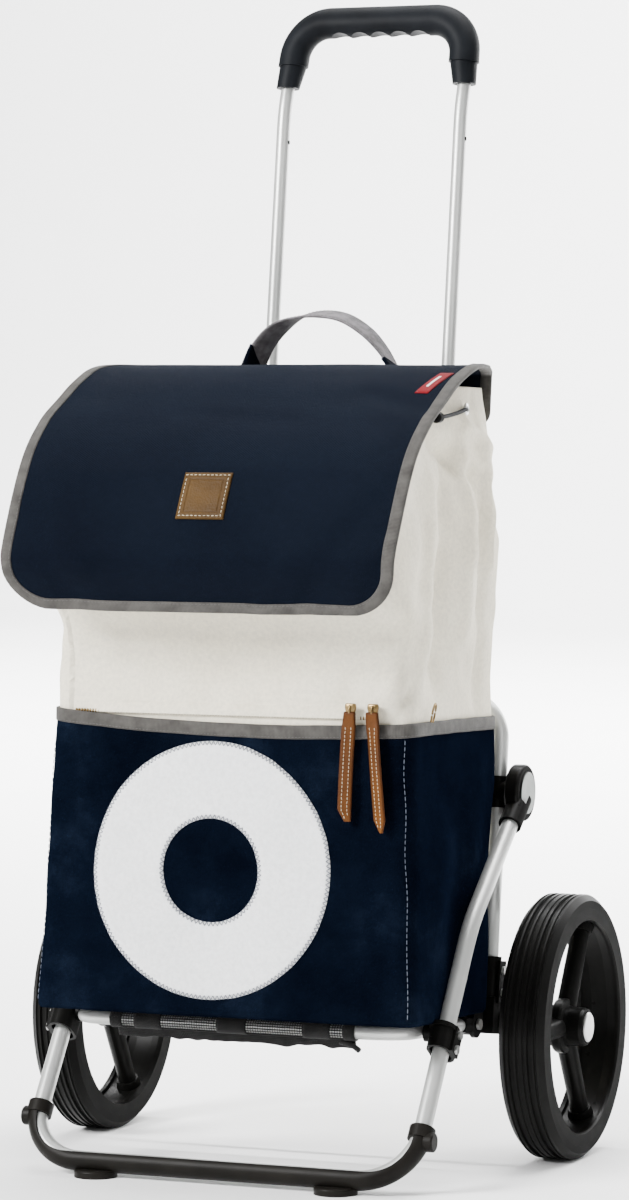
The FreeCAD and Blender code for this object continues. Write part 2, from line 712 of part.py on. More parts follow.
def flap_strip(profile, facing, x_low, x_high, outer, inner):
    """Bent sheet along a profile; x_low and x_high turn a half width into the sheet's two edges."""
    rows = flap_rows(profile, facing)
    pieces = []
    for (p0, w0, n0), (p1, w1, n1) in zip(rows, rows[1:]):
        sheets = []
        for depth in (outer, inner):
            a = p0 + n0 * depth
            b = p1 + n1 * depth
            sheets.append([at_x(a, x_low(w0)), at_x(a, x_high(w0)), at_x(b, x_high(w1)), at_x(b, x_low(w1))])
        pieces.append(slab(*sheets))
    return joined(pieces)


def shortened(profile, amount):
    """The profile without its last few millimetres, and the piece that was taken off."""
    (y0, z0, w0), (y1, z1, w1) = profile[-2:]
    part = 1 - amount / math.hypot(y1 - y0, z1 - z0)
    cut = (y0 + (y1 - y0) * part, z0 + (z1 - z0) * part, w0 + (w1 - w0) * part)
    return profile[:-1] + [cut], [cut, profile[-1]]


def flap_cloth(profile, facing):
    kept, _ = shortened(profile, BINDING)
    return flap_strip(kept, facing, lambda w: BINDING - w, lambda w: w - BINDING, 0, FLAP_CLOTH)


def flap_edge(profile, facing):
    """Folded tape along the flap's two sides and its loose end, three separate lengths."""
    _, end = shortened(profile, BINDING)
    inset = BINDING + 0.1
    right = flap_strip(profile, facing, lambda w: w - BINDING, lambda w: w, -0.8, FLAP_CLOTH + 0.8)
    hem = flap_strip(end, facing, lambda w: inset - w, lambda w: w - inset, -0.8, FLAP_CLOTH + 0.8)
    return Part.makeCompound([right, mirrored(right), hem])


PATCH_HALF = 23.5
PATCH_FROM = 0.17            # where the patch lies on the flap's front, as parts of that stretch
PATCH_TO = 0.75
TAG_X = (163.0, 177.0)


def on_profile(low, high, part):
    return tuple(a + (b - a) * part for a, b in zip(low, high))


def leather_patch():
    low, high = FLAP[5], FLAP[6]
    stretch = [on_profile(low, high, PATCH_FROM), on_profile(low, high, PATCH_TO)]
    return flap_strip(stretch, 1, lambda w: -PATCH_HALF, lambda w: PATCH_HALF, -2.2, -0.05)


def side_tag():
    stretch = [on_profile(FLAP[1], FLAP[2], 0.65), FLAP[2], on_profile(FLAP[2], FLAP[3], 0.7)]
    return flap_strip(stretch, 1, lambda w: TAG_X[0], lambda w: TAG_X[1], -1.6, -0.3)


STRAP_HALF = 70.0
STRAP_Y = -30.0
STRAP_HINGE_Z = 751.0
STRAP_TOP_Z = 803.0
STRAP_WIDTH = 25.0
STRAP_CLOTH = 4.0


def carry_strap():
    """Webbing loop on top of the bag."""
    foot = STRAP_HINGE_Z + 8

    def arch(half, top):
        left = V(-half, STRAP_Y, foot)
        right = V(half, STRAP_Y, foot)
        return Part.Arc(left, V(0, STRAP_Y, top), right).toShape()

    outer = arch(STRAP_HALF, STRAP_TOP_Z)
    inner = arch(STRAP_HALF - STRAP_CLOTH - 1.5, STRAP_TOP_Z - STRAP_CLOTH)
    ends = []
    for a, b in ((outer.Vertexes[0], inner.Vertexes[0]), (outer.Vertexes[-1], inner.Vertexes[-1])):
        ends.append(Part.LineSegment(a.Point, b.Point).toShape())
    face = Part.Face(Part.Wire(Part.sortEdges([outer, inner] + ends)[0]))
    strap = face.extrude(V(0, STRAP_WIDTH, 0))
    strap.translate(V(0, -STRAP_WIDTH / 2, 0))
    return strap


def strap_tab():
    """Sewn end of the carry strap, with the narrow fold that the loop bends at."""
    plate = box(STRAP_HALF - 9, STRAP_HALF + 12, STRAP_Y - 12.5, STRAP_Y + 12.5, 747.4, 749.4)
    fold = box(STRAP_HALF - 4.5, STRAP_HALF - 1, STRAP_Y - 2.5, STRAP_Y + 2.5, 749.4, STRAP_HINGE_Z + 7.4)
    return plate.fuse(fold)


# ---- bag trimmings ------------------------------------------------------------------------
CORD_R = 2.0
CORD_BEND = 60.0
LOCK_R = 5.2
LOCK_LENGTH = 16.0
CORD_ROUTE = [V(165.4, -78, 707), V(172.4, -128, 701), V(179.6, -184, 699)]


def drawstring():
    return sweep(rounded_path(CORD_ROUTE, [CORD_BEND]), CORD_R)


def cord_lock():
    end = CORD_ROUTE[-1]
    way = (CORD_ROUTE[-1] - CORD_ROUTE[-2]).normalize()
    barrel = cyl(LOCK_R, end, end + way * LOCK_LENGTH)
    return barrel.makeFillet(1.5, [e for e in barrel.Edges if e.Length > 30])


HANG_W = 550.0               # place of the hanging bar on the leaning frame
HANG_R = 5.0
HANGER_X = (40, 62)


def bag_back_y(z):
    """Outside of the bag's back at a height."""
    for low, high in zip(BAG, BAG[1:]):
        if low[3] <= z <= high[3]:
            return low[2] + (high[2] - low[2]) * (z - low[3]) / (high[3] - low[3])
    return BAG[-1][2]


def bag_hanger():
    """Webbing loop from the bag's back to the hanging bar."""
    bar = leaning(0, FRAME_V, HANG_W)
    loop = ring(HANG_R + 1.6, HANG_R, at_x(bar, HANGER_X[0]), at_x(bar, HANGER_X[1]))
    strip = box(*HANGER_X, bag_back_y(bar.z) + 0.4, bar.y - 5.6, bar.z - 1, bar.z + 1.5)
    return loop.fuse(strip).cut(cyl(HANG_R, at_x(bar, 30), at_x(bar, 70)))


ZIP_Z = 435.0
SLIDER_Y = -254.2
BAR_Y = -261.0               # bar of each slider, where its pull hangs
BAR_R = 0.9
PULL_THICK = 2.8
PULL_NECK = 3.1              # half width of a pull at the bar
SLIDER_X = (123.5, 145.2)
PULL_LENGTH = (98.0, 110.0)
PULL_HALF = (5.2, 6.0)


def zip_slider(x):
    body = box(x - 5.5, x + 5.5, SLIDER_Y - 5.0, SLIDER_Y, ZIP_Z - 7, ZIP_Z + 6)
    body = body.makeFillet(1.4, body.Edges)
    bar_z = ZIP_Z - 3.5
    bar = cyl(BAR_R, V(x - 4.9, BAR_Y, bar_z), V(x + 4.9, BAR_Y, bar_z))
    ears = []
    for side in (-1, 1):
        low = min(side * 3.5, side * 4.9)
        ears.append(box(x + low, x + low + 1.4, BAR_Y - 1.4, SLIDER_Y - 2, bar_z - 1.4, bar_z + 1.4))
    return joined([body, bar] + ears)


def zip_pull(x, length, half):
    """Leather tongue that hangs from the slider's bar, pointed at its lower end."""
    bar_z = ZIP_Z - 3.5
    top = bar_z + 1.2
    low = top - length
    outline = [(-PULL_NECK, top), (PULL_NECK, top), (PULL_NECK, bar_z - 3), (half, bar_z - 6), (half, low + 9), (0, low)]
    outline += [(-half, low + 9), (-half, bar_z - 6), (-PULL_NECK, bar_z - 3)]
    pts = [V(x + dx, BAR_Y - PULL_THICK / 2, z) for dx, z in outline]
    body = Part.Face(Part.makePolygon(pts + [pts[0]])).extrude(V(0, PULL_THICK, 0))
    return body.cut(cyl(BAR_R + 0.05, V(x - 9, BAR_Y, bar_z), V(x + 9, BAR_Y, bar_z)))


# ---- everything ---------------------------------------------------------------------------
def build_frame():
    save_both("main_tubes", main_tube())
    save_both("axle_brackets", axle_bracket())
    save_both("bracket_plates", bracket_plate())
    save_both("bracket_bolts", bracket_bolts())
    save_both("knuckle_mounts", knuckle_mount())
    save_both("knuckle_pins", knuckle_pin())
    save_both("hinge_pins", hinge_pin())
    save("axle", axle())
    save_both("wheel_bearings", Part.makeCompound([bearing(x) for x in BEARING_X]))
    save_both("axle_clips", axle_clip())
    save("cross_bar", cross_bar(CROSS_W, FRAME_HALF_LOW, CROSS_R, FRAME_R))
    save("hanging_bar", cross_bar(HANG_W, FRAME_HALF_TOP, HANG_R, FRAME_R))
    save_both("top_collars", top_collar())
    save_pair("height_button", height_button())


def build_handle():
    save_both("handle_tubes", handle_tube())
    save("grip", grip())


def build_leg():
    save("leg_tube", leg_tube())
    save("foot_cover", foot_cover())
    save_both("foot_pads", foot_pad())
    save_both("leg_knuckles", leg_knuckle())
    save_pair("release_button", release_button())
    save_both("slide_brackets", slide_bracket())
    save_both("slide_bracket_screws", slide_bracket_screws())


def build_platform():
    save("platform_tube", platform_tube())
    save_both("platform_ends", platform_end())
    save_both("cross_pins", cross_pin())
    save("net_sling", net_sling())
    save("net_hem", net_hem())
    save("net_rear_webbing", net_rear_webbing())


def build_wheels():
    save_pair("tyre", tyre())
    save_pair("rim", rim())
    save_pair("hub_cap", hub_cap())


def build_bag():
    levels = list(range(len(BAG)))
    low = levels[: POCKET_TOP + 1]
    high = levels[POCKET_TOP:]
    save("pocket_panel", bag_wall("front", low, 0, CLOTH))
    lining = bag_wall("front", low, CLOTH + 0.3, CLOTH + 2.8)
    save("front_panel_lower", lining.cut(box(-300, 300, -400, 200, 100, 154)))
    save("front_panel_upper", bag_wall("front", high, 0, CLOTH))
    save("back_panel", bag_wall("back", levels, 0, CLOTH))
    save_both("side_panels_lower", bag_wall("right", low, 0, CLOTH))
    save_both("side_panels_upper", bag_wall("right", high, 0, CLOTH))
    save("bag_bottom", bag_bottom())
    save("base_board", base_board())
    save("pocket_binding", pocket_binding())
    save("zip_tape", zip_tape())
    for i, name in enumerate(("inner", "outer")):
        save("zip_slider_" + name, zip_slider(SLIDER_X[i]))
        save("zip_pull_" + name, zip_pull(SLIDER_X[i], PULL_LENGTH[i], PULL_HALF[i]))
    save("flap_panel", flap_cloth(FLAP, 1))
    save("flap_binding", flap_edge(FLAP, 1))
    save("flap_back", Part.makeCompound([flap_cloth(FLAP_BACK, -1), flap_edge(FLAP_BACK, -1)]))
    save("leather_patch", leather_patch())
    save("side_tag", side_tag())
    save("carry_strap", carry_strap())
    save_both("strap_tabs", strap_tab())
    save("drawstring", Part.makeCompound([drawstring(), cord_lock()]))
    save_both("bag_hangers", bag_hanger())


build_frame()
build_handle()
build_leg()
build_platform()
build_wheels()
build_bag()
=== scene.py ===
"""Looks of a two-wheeled shopping trolley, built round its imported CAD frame.

Metres, +Z up, front facing -Y. Heights and widths of the cloth repeat those of the CAD panels, and y is
counted from the wheel axle, which at() turns into the row frame.
"""

import bisect
import bpy
import json
from math import copysign, cos, dist, exp, hypot, pi, radians, sin, sqrt
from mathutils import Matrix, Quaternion, Vector, noise


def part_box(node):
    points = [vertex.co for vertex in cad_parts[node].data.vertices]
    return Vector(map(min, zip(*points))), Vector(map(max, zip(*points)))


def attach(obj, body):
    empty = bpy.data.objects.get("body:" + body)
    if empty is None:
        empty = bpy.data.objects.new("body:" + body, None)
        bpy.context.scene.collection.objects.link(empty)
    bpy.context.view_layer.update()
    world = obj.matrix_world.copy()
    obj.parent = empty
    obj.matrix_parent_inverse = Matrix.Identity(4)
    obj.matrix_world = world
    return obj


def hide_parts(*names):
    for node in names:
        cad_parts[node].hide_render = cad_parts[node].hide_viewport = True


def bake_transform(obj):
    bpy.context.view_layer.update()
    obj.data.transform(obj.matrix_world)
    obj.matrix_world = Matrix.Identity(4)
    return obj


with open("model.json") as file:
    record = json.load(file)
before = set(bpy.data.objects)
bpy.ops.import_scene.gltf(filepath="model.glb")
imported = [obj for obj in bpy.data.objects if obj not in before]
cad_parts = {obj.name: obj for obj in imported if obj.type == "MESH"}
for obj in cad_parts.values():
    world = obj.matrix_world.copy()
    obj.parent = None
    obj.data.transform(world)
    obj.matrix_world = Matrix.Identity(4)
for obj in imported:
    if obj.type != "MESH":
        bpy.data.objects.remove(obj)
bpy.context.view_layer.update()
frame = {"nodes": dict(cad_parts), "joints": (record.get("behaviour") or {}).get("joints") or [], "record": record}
JOINTS = {j["name"]: j for j in frame["joints"]}
NODES = frame["nodes"]
AXLE_Y = JOINTS["wheel_spin_right"]["pos_m"][1]
X, Y, Z = Vector((1, 0, 0)), Vector((0, 1, 0)), Vector((0, 0, 1))
SIDES = (("left", -1), ("right", 1))


def at(x, y, z):
    """Point given from the floor under the axle's middle, in the row frame."""
    return Vector((x, y + AXLE_Y, z))


def put(thing, **settings):
    for key, value in settings.items():
        setattr(thing, key, value)
    return thing


# ---- shader nodes
class Shader:
    """A Principled material whose nodes are added one call at a time."""

    def __init__(self, name, **fixed):
        self.mat = bpy.data.materials.new(name)
        self.mat.use_nodes = True
        self.tree = self.mat.node_tree
        self.out = self.tree.nodes["Principled BSDF"]
        for key, value in fixed.items():
            self.out.inputs[key.replace("_", " ")].default_value = value
        self.place = self.add("TexCoord").outputs["Object"]

    def add(self, kind, settings=None, **inputs):
        made = put(self.tree.nodes.new("ShaderNode" + kind), **(settings or {}))
        for key, value in inputs.items():
            self.feed(made.inputs[key.replace("_", " ")], value)
        return made

    def feed(self, socket, value):
        if isinstance(value, bpy.types.NodeSocket):
            self.tree.links.new(value, socket)
        else:
            socket.default_value = value

    def finish(self, colour, roughness, height, distance):
        """Links what is seen: the base colour, the roughness and a relief of a height in metres."""
        self.feed(self.out.inputs["Base Color"], colour)
        self.feed(self.out.inputs["Roughness"], roughness)
        bump = self.add("Bump", Strength=1.0, Distance=distance, Height=height)
        self.feed(self.out.inputs["Normal"], bump.outputs["Normal"])
        return self.mat

    def math(self, operation, a, b=0.0):
        made = self.add("Math", {"operation": operation})
        self.feed(made.inputs[0], a)
        self.feed(made.inputs[1], b)
        return made.outputs[0]

    def plus(self, a, b):
        return self.math("ADD", a, b)

    def times(self, a, b):
        return self.math("MULTIPLY", a, b)

    def span(self, value, low, high):
        """value, which runs from 0 to 1, moved to run from low to high."""
        return self.plus(self.times(value, high - low), low)

    def noise(self, scale, detail=2.0, rough=0.5, where=None):
        made = self.add("TexNoise", Scale=scale, Detail=detail, Roughness=rough, Vector=where or self.place)
        return made.outputs["Fac"]

    def ramp(self, value, *stops):
        """Colours along value; a stop is a position and a colour or a grey."""
        made = self.add("ValToRGB", Fac=value)
        points = made.color_ramp.elements
        for i, (position, colour) in enumerate(stops):
            point = points[i] if i < len(points) else points.new(position)
            point.position = position
            point.color = (*(colour if isinstance(colour, tuple) else (colour,) * 3), 1.0)
        return made.outputs["Color"]

    def mix(self, a, b, share, blend="MULTIPLY"):
        made = self.add("Mix", {"data_type": "RGBA", "blend_type": blend}, Factor=share)
        for socket, value in ((made.inputs[6], a), (made.inputs[7], b)):
            self.feed(socket, (*value, 1.0) if isinstance(value, tuple) else value)
        return made.outputs[2]

    def cloth(self):
        """Along and across the cloth, in metres."""
        made = self.add("Attribute", {"attribute_name": "cloth"})
        split = self.add("SeparateXYZ", Vector=made.outputs["Vector"])
        return split.outputs["X"], split.outputs["Y"]

    def threads(self, value, pitch):
        return self.math("SINE", self.times(value, 2 * pi / pitch))


def facing_sideways(s):
    """How squarely the surface faces along the axle, from 0 to 1."""
    split = s.add("SeparateXYZ", Vector=s.add("TexCoord").outputs["Normal"])
    made = s.add("MapRange", {"interpolation_type": "SMOOTHSTEP"}, Value=s.math("ABSOLUTE", split.outputs["X"]),
                 From_Min=0.6, From_Max=0.85)
    return made.outputs["Result"]


def hard(name, dark, light, tint, worn, shine, grain, depth, dull_sides=0.0, top=0.7, **fixed):
    """Metal, plastic or rubber. tint, worn and grain are the noises of its colour, sheen and relief, shine
    is the range of its roughness, and dull_sides is what a face turned sideways adds to it."""
    s = Shader(name, **fixed)
    rough = s.span(s.noise(*worn), *shine)
    if dull_sides:
        rough = s.plus(rough, s.times(facing_sideways(s), dull_sides))
    return s.finish(s.ramp(s.noise(*tint), (0.3, dark), (top, light)), rough, s.noise(*grain), depth)


def moulded(name, dark, light, rough, grain, depth, dull_sides=0.0, **fixed):
    """Moulded plastic or rubber with a fine spark-eroded grain."""
    return hard(name, dark, light, (30.0, 3.0), (55.0, 3.0), (rough - 0.07, rough + 0.09), (grain,), depth,
                dull_sides, **fixed)


def bright_steel():
    s = Shader("steel", Metallic=0.95)
    brushed = s.noise(400.0, 3.0, 0.6, s.add("Mapping", Vector=s.place, Scale=(1.0, 0.06, 0.06)).outputs["Vector"])
    base = s.ramp(s.noise(40.0, 4.0), (0.3, (0.38, 0.38, 0.37)), (0.75, (0.55, 0.55, 0.54)))
    return s.finish(base, s.span(brushed, 0.2, 0.44), brushed, 0.00004)


def silver_disc():
    """Black moulded cap whose outward face is painted a satin silver."""
    s = Shader("disc_silver", Specular_IOR_Level=0.2)
    paint = s.ramp(s.noise(30.0, 3.0), (0.3, (0.15, 0.165, 0.155)), (0.7, (0.22, 0.24, 0.225)))
    return s.finish(s.mix((0.0035, 0.0035, 0.0033), paint, facing_sideways(s), "MIX"),
                    s.span(s.noise(55.0, 3.0), 0.34, 0.5), s.noise(900.0), 0.00004)


def woven(name, dark, light, pitch, depth, rough, **fixed):
    """Plain weave that follows the cloth: raised threads over and under, slubs, soft random patches of lighter and
    darker tone, and painted shade in the dips between the threads.
    """
    s = Shader(name, **fixed)
    along, across = s.cloth()
    weave = s.times(s.threads(along, pitch), s.threads(across, pitch))
    slub = s.noise(260.0, 3.0, 0.6)
    base = s.ramp(s.noise(5.0, 5.0, 0.55), (0.32, dark), (0.68, light))
    # painted shade: the colour is darker where the weave dips between its threads and lighter on their raised tops;
    # slubs add random tone
    thread = s.ramp(s.plus(s.times(weave, 0.25), slub), (0.25, 0.72), (0.75, 1.0))
    return s.finish(s.mix(base, thread, 0.8), s.span(slub, rough - 0.08, rough + 0.08),
                    s.plus(s.times(weave, 0.5), slub), depth)


def velvet():
    """Short-pile navy cloth with its nap brushed in patches; the lighter patches are a painted sheen, light caught by
    the pile.
    """
    s = Shader("navy_velvet", Sheen_Weight=0.014, Sheen_Roughness=0.4, Sheen_Tint=(0.10, 0.22, 0.60, 1.0),
               Specular_IOR_Level=0.0)
    nap_and_painted_sheen, pile = s.noise(9.0, 7.0, 0.66), s.noise(900.0)
    # painted sheen: the lighter patches of this colour stand in for light caught by the brushed pile
    base = s.ramp(nap_and_painted_sheen, (0.36, (0.0010, 0.0017, 0.0040)), (0.54, (0.0017, 0.0030, 0.0068)),
                  (0.72, (0.0046, 0.0078, 0.0158)))
    return s.finish(s.mix(base, s.ramp(pile, (0.3, 0.55), (0.7, 1.25)), 0.7), s.span(nap_and_painted_sheen, 0.75, 0.95),
                    s.plus(s.times(nap_and_painted_sheen, 1.5), pile), 0.0005)


def webbing(name, dark, light, pitch=0.0022):
    """Ribbed tape: fine ribs across its length in a herringbone; its raised threads are painted lighter and the dips
    between them darker, as painted shade, over a random mottle.
    """
    s = Shader(name, Sheen_Weight=0.04, Specular_IOR_Level=0.15)
    along, across = s.cloth()
    ribs = s.threads(s.plus(along, s.times(across, 0.8)), pitch)
    height = s.plus(s.times(ribs, 0.5), s.times(s.threads(across, 0.0016), 0.3))
    # painted shade: the colour follows the ribs' height, darker in the dips between them; the noise is a random
    # mottle
    mottle_and_rib_shade = s.plus(s.times(height, 0.25), s.noise(120.0, 4.0))
    return s.finish(s.ramp(mottle_and_rib_shade, (0.3, dark), (0.72, light)), s.span(s.noise(60.0), 0.65, 0.85), height, 0.0003)


def grosgrain(name, dark, light, pitch):
    """Ribbed tape: straight raised ribs across its length, with a faint mottle and painted shade in the dips between
    the ribs.
    """
    s = Shader(name, Sheen_Weight=0.04, Specular_IOR_Level=0.12)
    along, across = s.cloth()
    ribs = s.math("ABSOLUTE", s.threads(along, 2 * pitch))
    height = s.plus(ribs, s.times(s.threads(across, 0.0011), 0.25))
    # painted shade: the colour follows the ribs' height, darker in the dips between them; the noise is a faint random
    # mottle
    mottle_and_rib_shade = s.plus(s.times(height, 0.3), s.noise(90.0, 4.0))
    return s.finish(s.ramp(mottle_and_rib_shade, (0.35, dark), (0.95, light)), s.span(s.noise(60.0), 0.62, 0.82), height, 0.00025)


def leather(name, dark, light):
    """Vegetable-tanned hide: pores, fine creases and darker, burnished edges."""
    s = Shader(name, Specular_IOR_Level=0.12)
    pores = s.add("TexVoronoi", Scale=520.0, Vector=s.place).outputs["Distance"]
    crease = s.noise(90.0, 6.0, 0.65)
    base = s.ramp(s.noise(28.0, 5.0, 0.6), (0.28, dark), (0.72, light))
    rim = s.ramp(s.add("NewGeometry").outputs["Pointiness"], (0.46, 1.0), (0.56, (0.55, 0.45, 0.38)))
    return s.finish(s.mix(base, rim, 0.8), s.span(crease, 0.42, 0.70), s.plus(s.times(pores, 0.6), crease), 0.0004)


LOOKS = [
    hard("silver_tube", (0.42, 0.43, 0.42), (0.55, 0.555, 0.54), (9.0, 4.0), (26.0, 6.0, 0.7), (0.24, 0.46),
         (1500.0,), 0.00006, top=0.72, Metallic=0.55),
    moulded("black_plastic", (0.0022, 0.0022, 0.0020), (0.0046, 0.0046, 0.0042), 0.30, 1400.0, 0.00008, 0.5,
            Specular_IOR_Level=0.06),
    moulded("black_rubber", (0.0048, 0.0043, 0.0036), (0.0088, 0.0079, 0.0067), 0.42, 900.0, 0.00012,
            Specular_IOR_Level=0.07),
    moulded("grip_plastic", (0.0034, 0.0040, 0.0050), (0.0070, 0.0080, 0.0098), 0.48, 1600.0, 0.0001,
            Specular_IOR_Level=0.05),
    moulded("board", (0.03,) * 3, (0.06,) * 3, 0.7, 300.0, 0.0003),
    moulded("dark_cord", (0.0022, 0.0024, 0.0034), (0.0060, 0.0064, 0.0085), 0.7, 700.0, 0.0004,
            Specular_IOR_Level=0.05),
    hard("tyre_rubber", (0.0022, 0.0022, 0.0020), (0.0048, 0.0048, 0.0044), (18.0, 3.0), (40.0, 5.0), (0.24, 0.42),
         (800.0, 3.0), 0.0001, 0.5, Specular_IOR_Level=0.06),
    hard("zip_metal", (0.15, 0.095, 0.036), (0.27, 0.185, 0.080), (60.0, 4.0), (150.0, 3.0), (0.2, 0.42), (700.0,),
         0.00005, Metallic=0.9),
    bright_steel(),
    silver_disc(),
    velvet(),
    woven("white_canvas", (0.78, 0.715, 0.560), (0.88, 0.825, 0.680), 0.0013, 0.0003, 0.82, Specular_IOR_Level=0.15),
    woven("navy_canvas", (0.0020, 0.0033, 0.0072), (0.0038, 0.0060, 0.0118), 0.0015, 0.0005, 0.78, Sheen_Weight=0.02,
          Sheen_Roughness=0.35, Sheen_Tint=(0.5, 0.62, 0.9, 1.0), Specular_IOR_Level=0.02),
    woven("red_tag", (0.13, 0.0016, 0.0050), (0.20, 0.0035, 0.0090), 0.0008, 0.0001, 0.6, Specular_IOR_Level=0.1),
    woven("white_twill", (0.80, 0.81, 0.82), (0.90, 0.91, 0.92), 0.0012, 0.0002, 0.8),
    woven("label_white", (0.75, 0.74, 0.72), (0.85, 0.84, 0.82), 0.0007, 0.0001, 0.6),
    grosgrain("grey_webbing", (0.026, 0.0245, 0.0225), (0.072, 0.068, 0.063), 0.0013),
    webbing("black_mesh", (0.003,) * 3, (0.012,) * 3),
    webbing("zip_tape", (0.45, 0.42, 0.35), (0.62, 0.58, 0.50), 0.0015),
    webbing("grey_cord", (0.003, 0.0035, 0.006), (0.010, 0.011, 0.016), 0.003),
    webbing("strap_webbing", (0.075, 0.070, 0.071), (0.19, 0.178, 0.19), 0.0016),
    leather("tan_leather", (0.056, 0.0175, 0.0016), (0.112, 0.0390, 0.0040)),
    leather("patch_leather", (0.034, 0.0160, 0.0024), (0.060, 0.0310, 0.0056)),
]
for thread, dark, light in (("cream_thread", (0.40, 0.33, 0.22), (0.60, 0.52, 0.38)),
                            ("grey_thread", (0.055, 0.053, 0.05), (0.11, 0.105, 0.10)),
                            ("zigzag_thread", (0.085, 0.095, 0.125), (0.17, 0.185, 0.225)),
                            ("blue_thread", (0.055, 0.068, 0.10), (0.12, 0.14, 0.19))):
    LOOKS.append(woven(thread, dark, light, 0.0008, 0.0001, 0.7))
MATERIAL = {look.name.split(".")[0]: look for look in LOOKS}    # Blender numbers a name that the CAD has too
SLOTS = {part["material_slot"] for part in frame["record"]["subparts"]}

for part in frame["record"]["subparts"]:
    cad = NODES[part["node"]]
    cad.data.materials.clear()
    cad.data.materials.append(MATERIAL[part["material_slot"]])


# ---- meshes
def linked(name, data):
    made = bpy.data.objects.new(name, data)
    bpy.context.scene.collection.objects.link(made)
    return made


def piece(name, verts, faces, look, body, replaces=(), cloth=None, slot=None):
    """Mesh object that rides on a body and stands for CAD nodes.

    cloth is each point's place on the cloth in metres, or the two axes to take it from. slot is not used.
    """
    mesh = bpy.data.meshes.new(name)
    mesh.from_pydata([tuple(v) for v in verts], [], faces)
    mesh.polygons.foreach_set("use_smooth", [True] * len(mesh.polygons))
    if isinstance(cloth, str):
        cloth = [[getattr(v, axis) for axis in cloth] for v in verts]
    if cloth:
        data = mesh.attributes.new("cloth", "FLOAT_VECTOR", "POINT").data
        data.foreach_set("vector", [c for along, across in cloth for c in (along, across, 0.0)])
    made = linked(name, mesh)
    mesh.materials.append(MATERIAL[look])
    if body:
        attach(made, body)
    if replaces:
        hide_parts(*replaces)
    if slot is None and look in SLOTS:
        slot = look
    return made


def spread(low, high, count):
    """count equal steps from low to high."""
    return [low + (high - low) * i / (count - 1) for i in range(count)]


def runs(points):
    """Distance travelled at each point of a list."""
    out = [0.0]
    for a, b in zip(points, points[1:]):
        out.append(out[-1] + dist(a, b))
    return out


def clamp(value, low=0.0, high=1.0):
    return max(low, min(high, value))


def bell(away, width):
    return exp(-(away / width) ** 2)


def waver(x, y=0.0, z=0.0):
    return noise.noise(Vector((x, y, z)))


def middle_of(box):
    return Vector([(a + b) / 2 for a, b in zip(*box)])


def grid_faces(rows, columns, first=0, wrap=False, flip=False):
    faces = []
    for i in range(rows - 1):
        a = first + i * columns
        b = a + columns
        for j in range(columns if wrap else columns - 1):
            k = (j + 1) % columns
            quad = (a + j, a + k, b + k, b + j)
            faces.append(quad[::-1] if flip else quad)
    return faces


def shell_mesh(outer, inner, wrap=False):
    """Closed sheet between two grids of points with the same rows and columns."""
    rows, columns = len(outer), len(outer[0])
    count = rows * columns
    verts = [p for row in outer + inner for p in row]
    faces = grid_faces(rows, columns, 0, wrap) + grid_faces(rows, columns, count, wrap, True)
    last = count - columns
    for j in range(columns if wrap else columns - 1):
        k = (j + 1) % columns
        faces.append((k, j, count + j, count + k))
        faces.append((last + j, last + k, count + last + k, count + last + j))
    if not wrap:
        for a in range(0, last, columns):
            b = a + columns
            faces.append((a, b, count + b, count + a))
            faces.append((b + columns - 1, b - 1, count + b - 1, count + b + columns - 1))
    return verts, faces


def sheet(name, rows, columns, point, look, body, replaces=(), cloth=None, wrap=False):
    """Thin closed sheet: point(row, column) gives the points of its two faces and, unless cloth does, its place."""
    grid = [[point(row, column) for column in columns] for row in rows]
    outer, inner = ([[p[side] for p in row] for row in grid] for side in (0, 1))
    if cloth is None:
        cloth = [p[2] for row in grid for p in row] * 2
    return piece(name, *shell_mesh(outer, inner, wrap), look, body, replaces, cloth)


def add_rod(verts, faces, loops, capped=True):
    """Adds a small tube, given as loops of points, to a mesh."""
    first, size = len(verts), len(loops[0])
    verts += [p for loop in loops for p in loop]
    faces += grid_faces(len(loops), size, first, True)
    if capped:
        faces.append(tuple(range(first + size - 1, first - 1, -1)))
        faces.append(tuple(range(len(verts) - size, len(verts))))


def tube_mesh(loops, closed=False):
    """Tube through loops of points, with end caps or closed on itself."""
    verts, faces = [], []
    add_rod(verts, faces, loops, not closed)
    if closed:
        size = len(loops[0])
        last = len(verts) - size
        faces += [(last + j, last + (j + 1) % size, (j + 1) % size, j) for j in range(size)]
    return verts, faces


def round_loop(centre, side, up, radius, count):
    """Points round a centre, on the ellipse that side and up span."""
    turns = [2 * pi * k / count for k in range(count)]
    return [centre + side * (cos(t) * radius) + up * (sin(t) * radius) for t in turns]


def catmull(points, t):
    """Smooth curve through a list of equal tuples, t from 0 to len - 1."""
    i = min(int(t), len(points) - 2)
    f = t - i
    a, b = points[i], points[i + 1]
    before = points[i - 1] if i else tuple(2 * p - q for p, q in zip(a, b))
    after = points[i + 2] if i + 2 < len(points) else tuple(2 * q - p for p, q in zip(a, b))
    out = []
    for p0, p1, p2, p3 in zip(before, a, b, after):
        square, cube = 2 * p0 - 5 * p1 + 4 * p2 - p3, 3 * p1 - p0 - 3 * p2 + p3
        out.append(0.5 * (2 * p1 + (p2 - p0) * f + square * f * f + cube * f ** 3))
    return out


def wire(name, path, radius, look, body, replaces=(), slot=None, sides=10):
    loops = []
    for i, p in enumerate(path):
        along = (path[min(i + 1, len(path) - 1)] - path[max(i - 1, 0)]).normalized()
        side = along.cross(Z if abs(along.z) < 0.9 else Y).normalized()
        loops.append(round_loop(p, side, side.cross(along), radius, sides))
    verts, faces = tube_mesh(loops)
    return piece(name, verts, faces, look, body, replaces, [(v.x + v.y, v.z) for v in verts], slot)


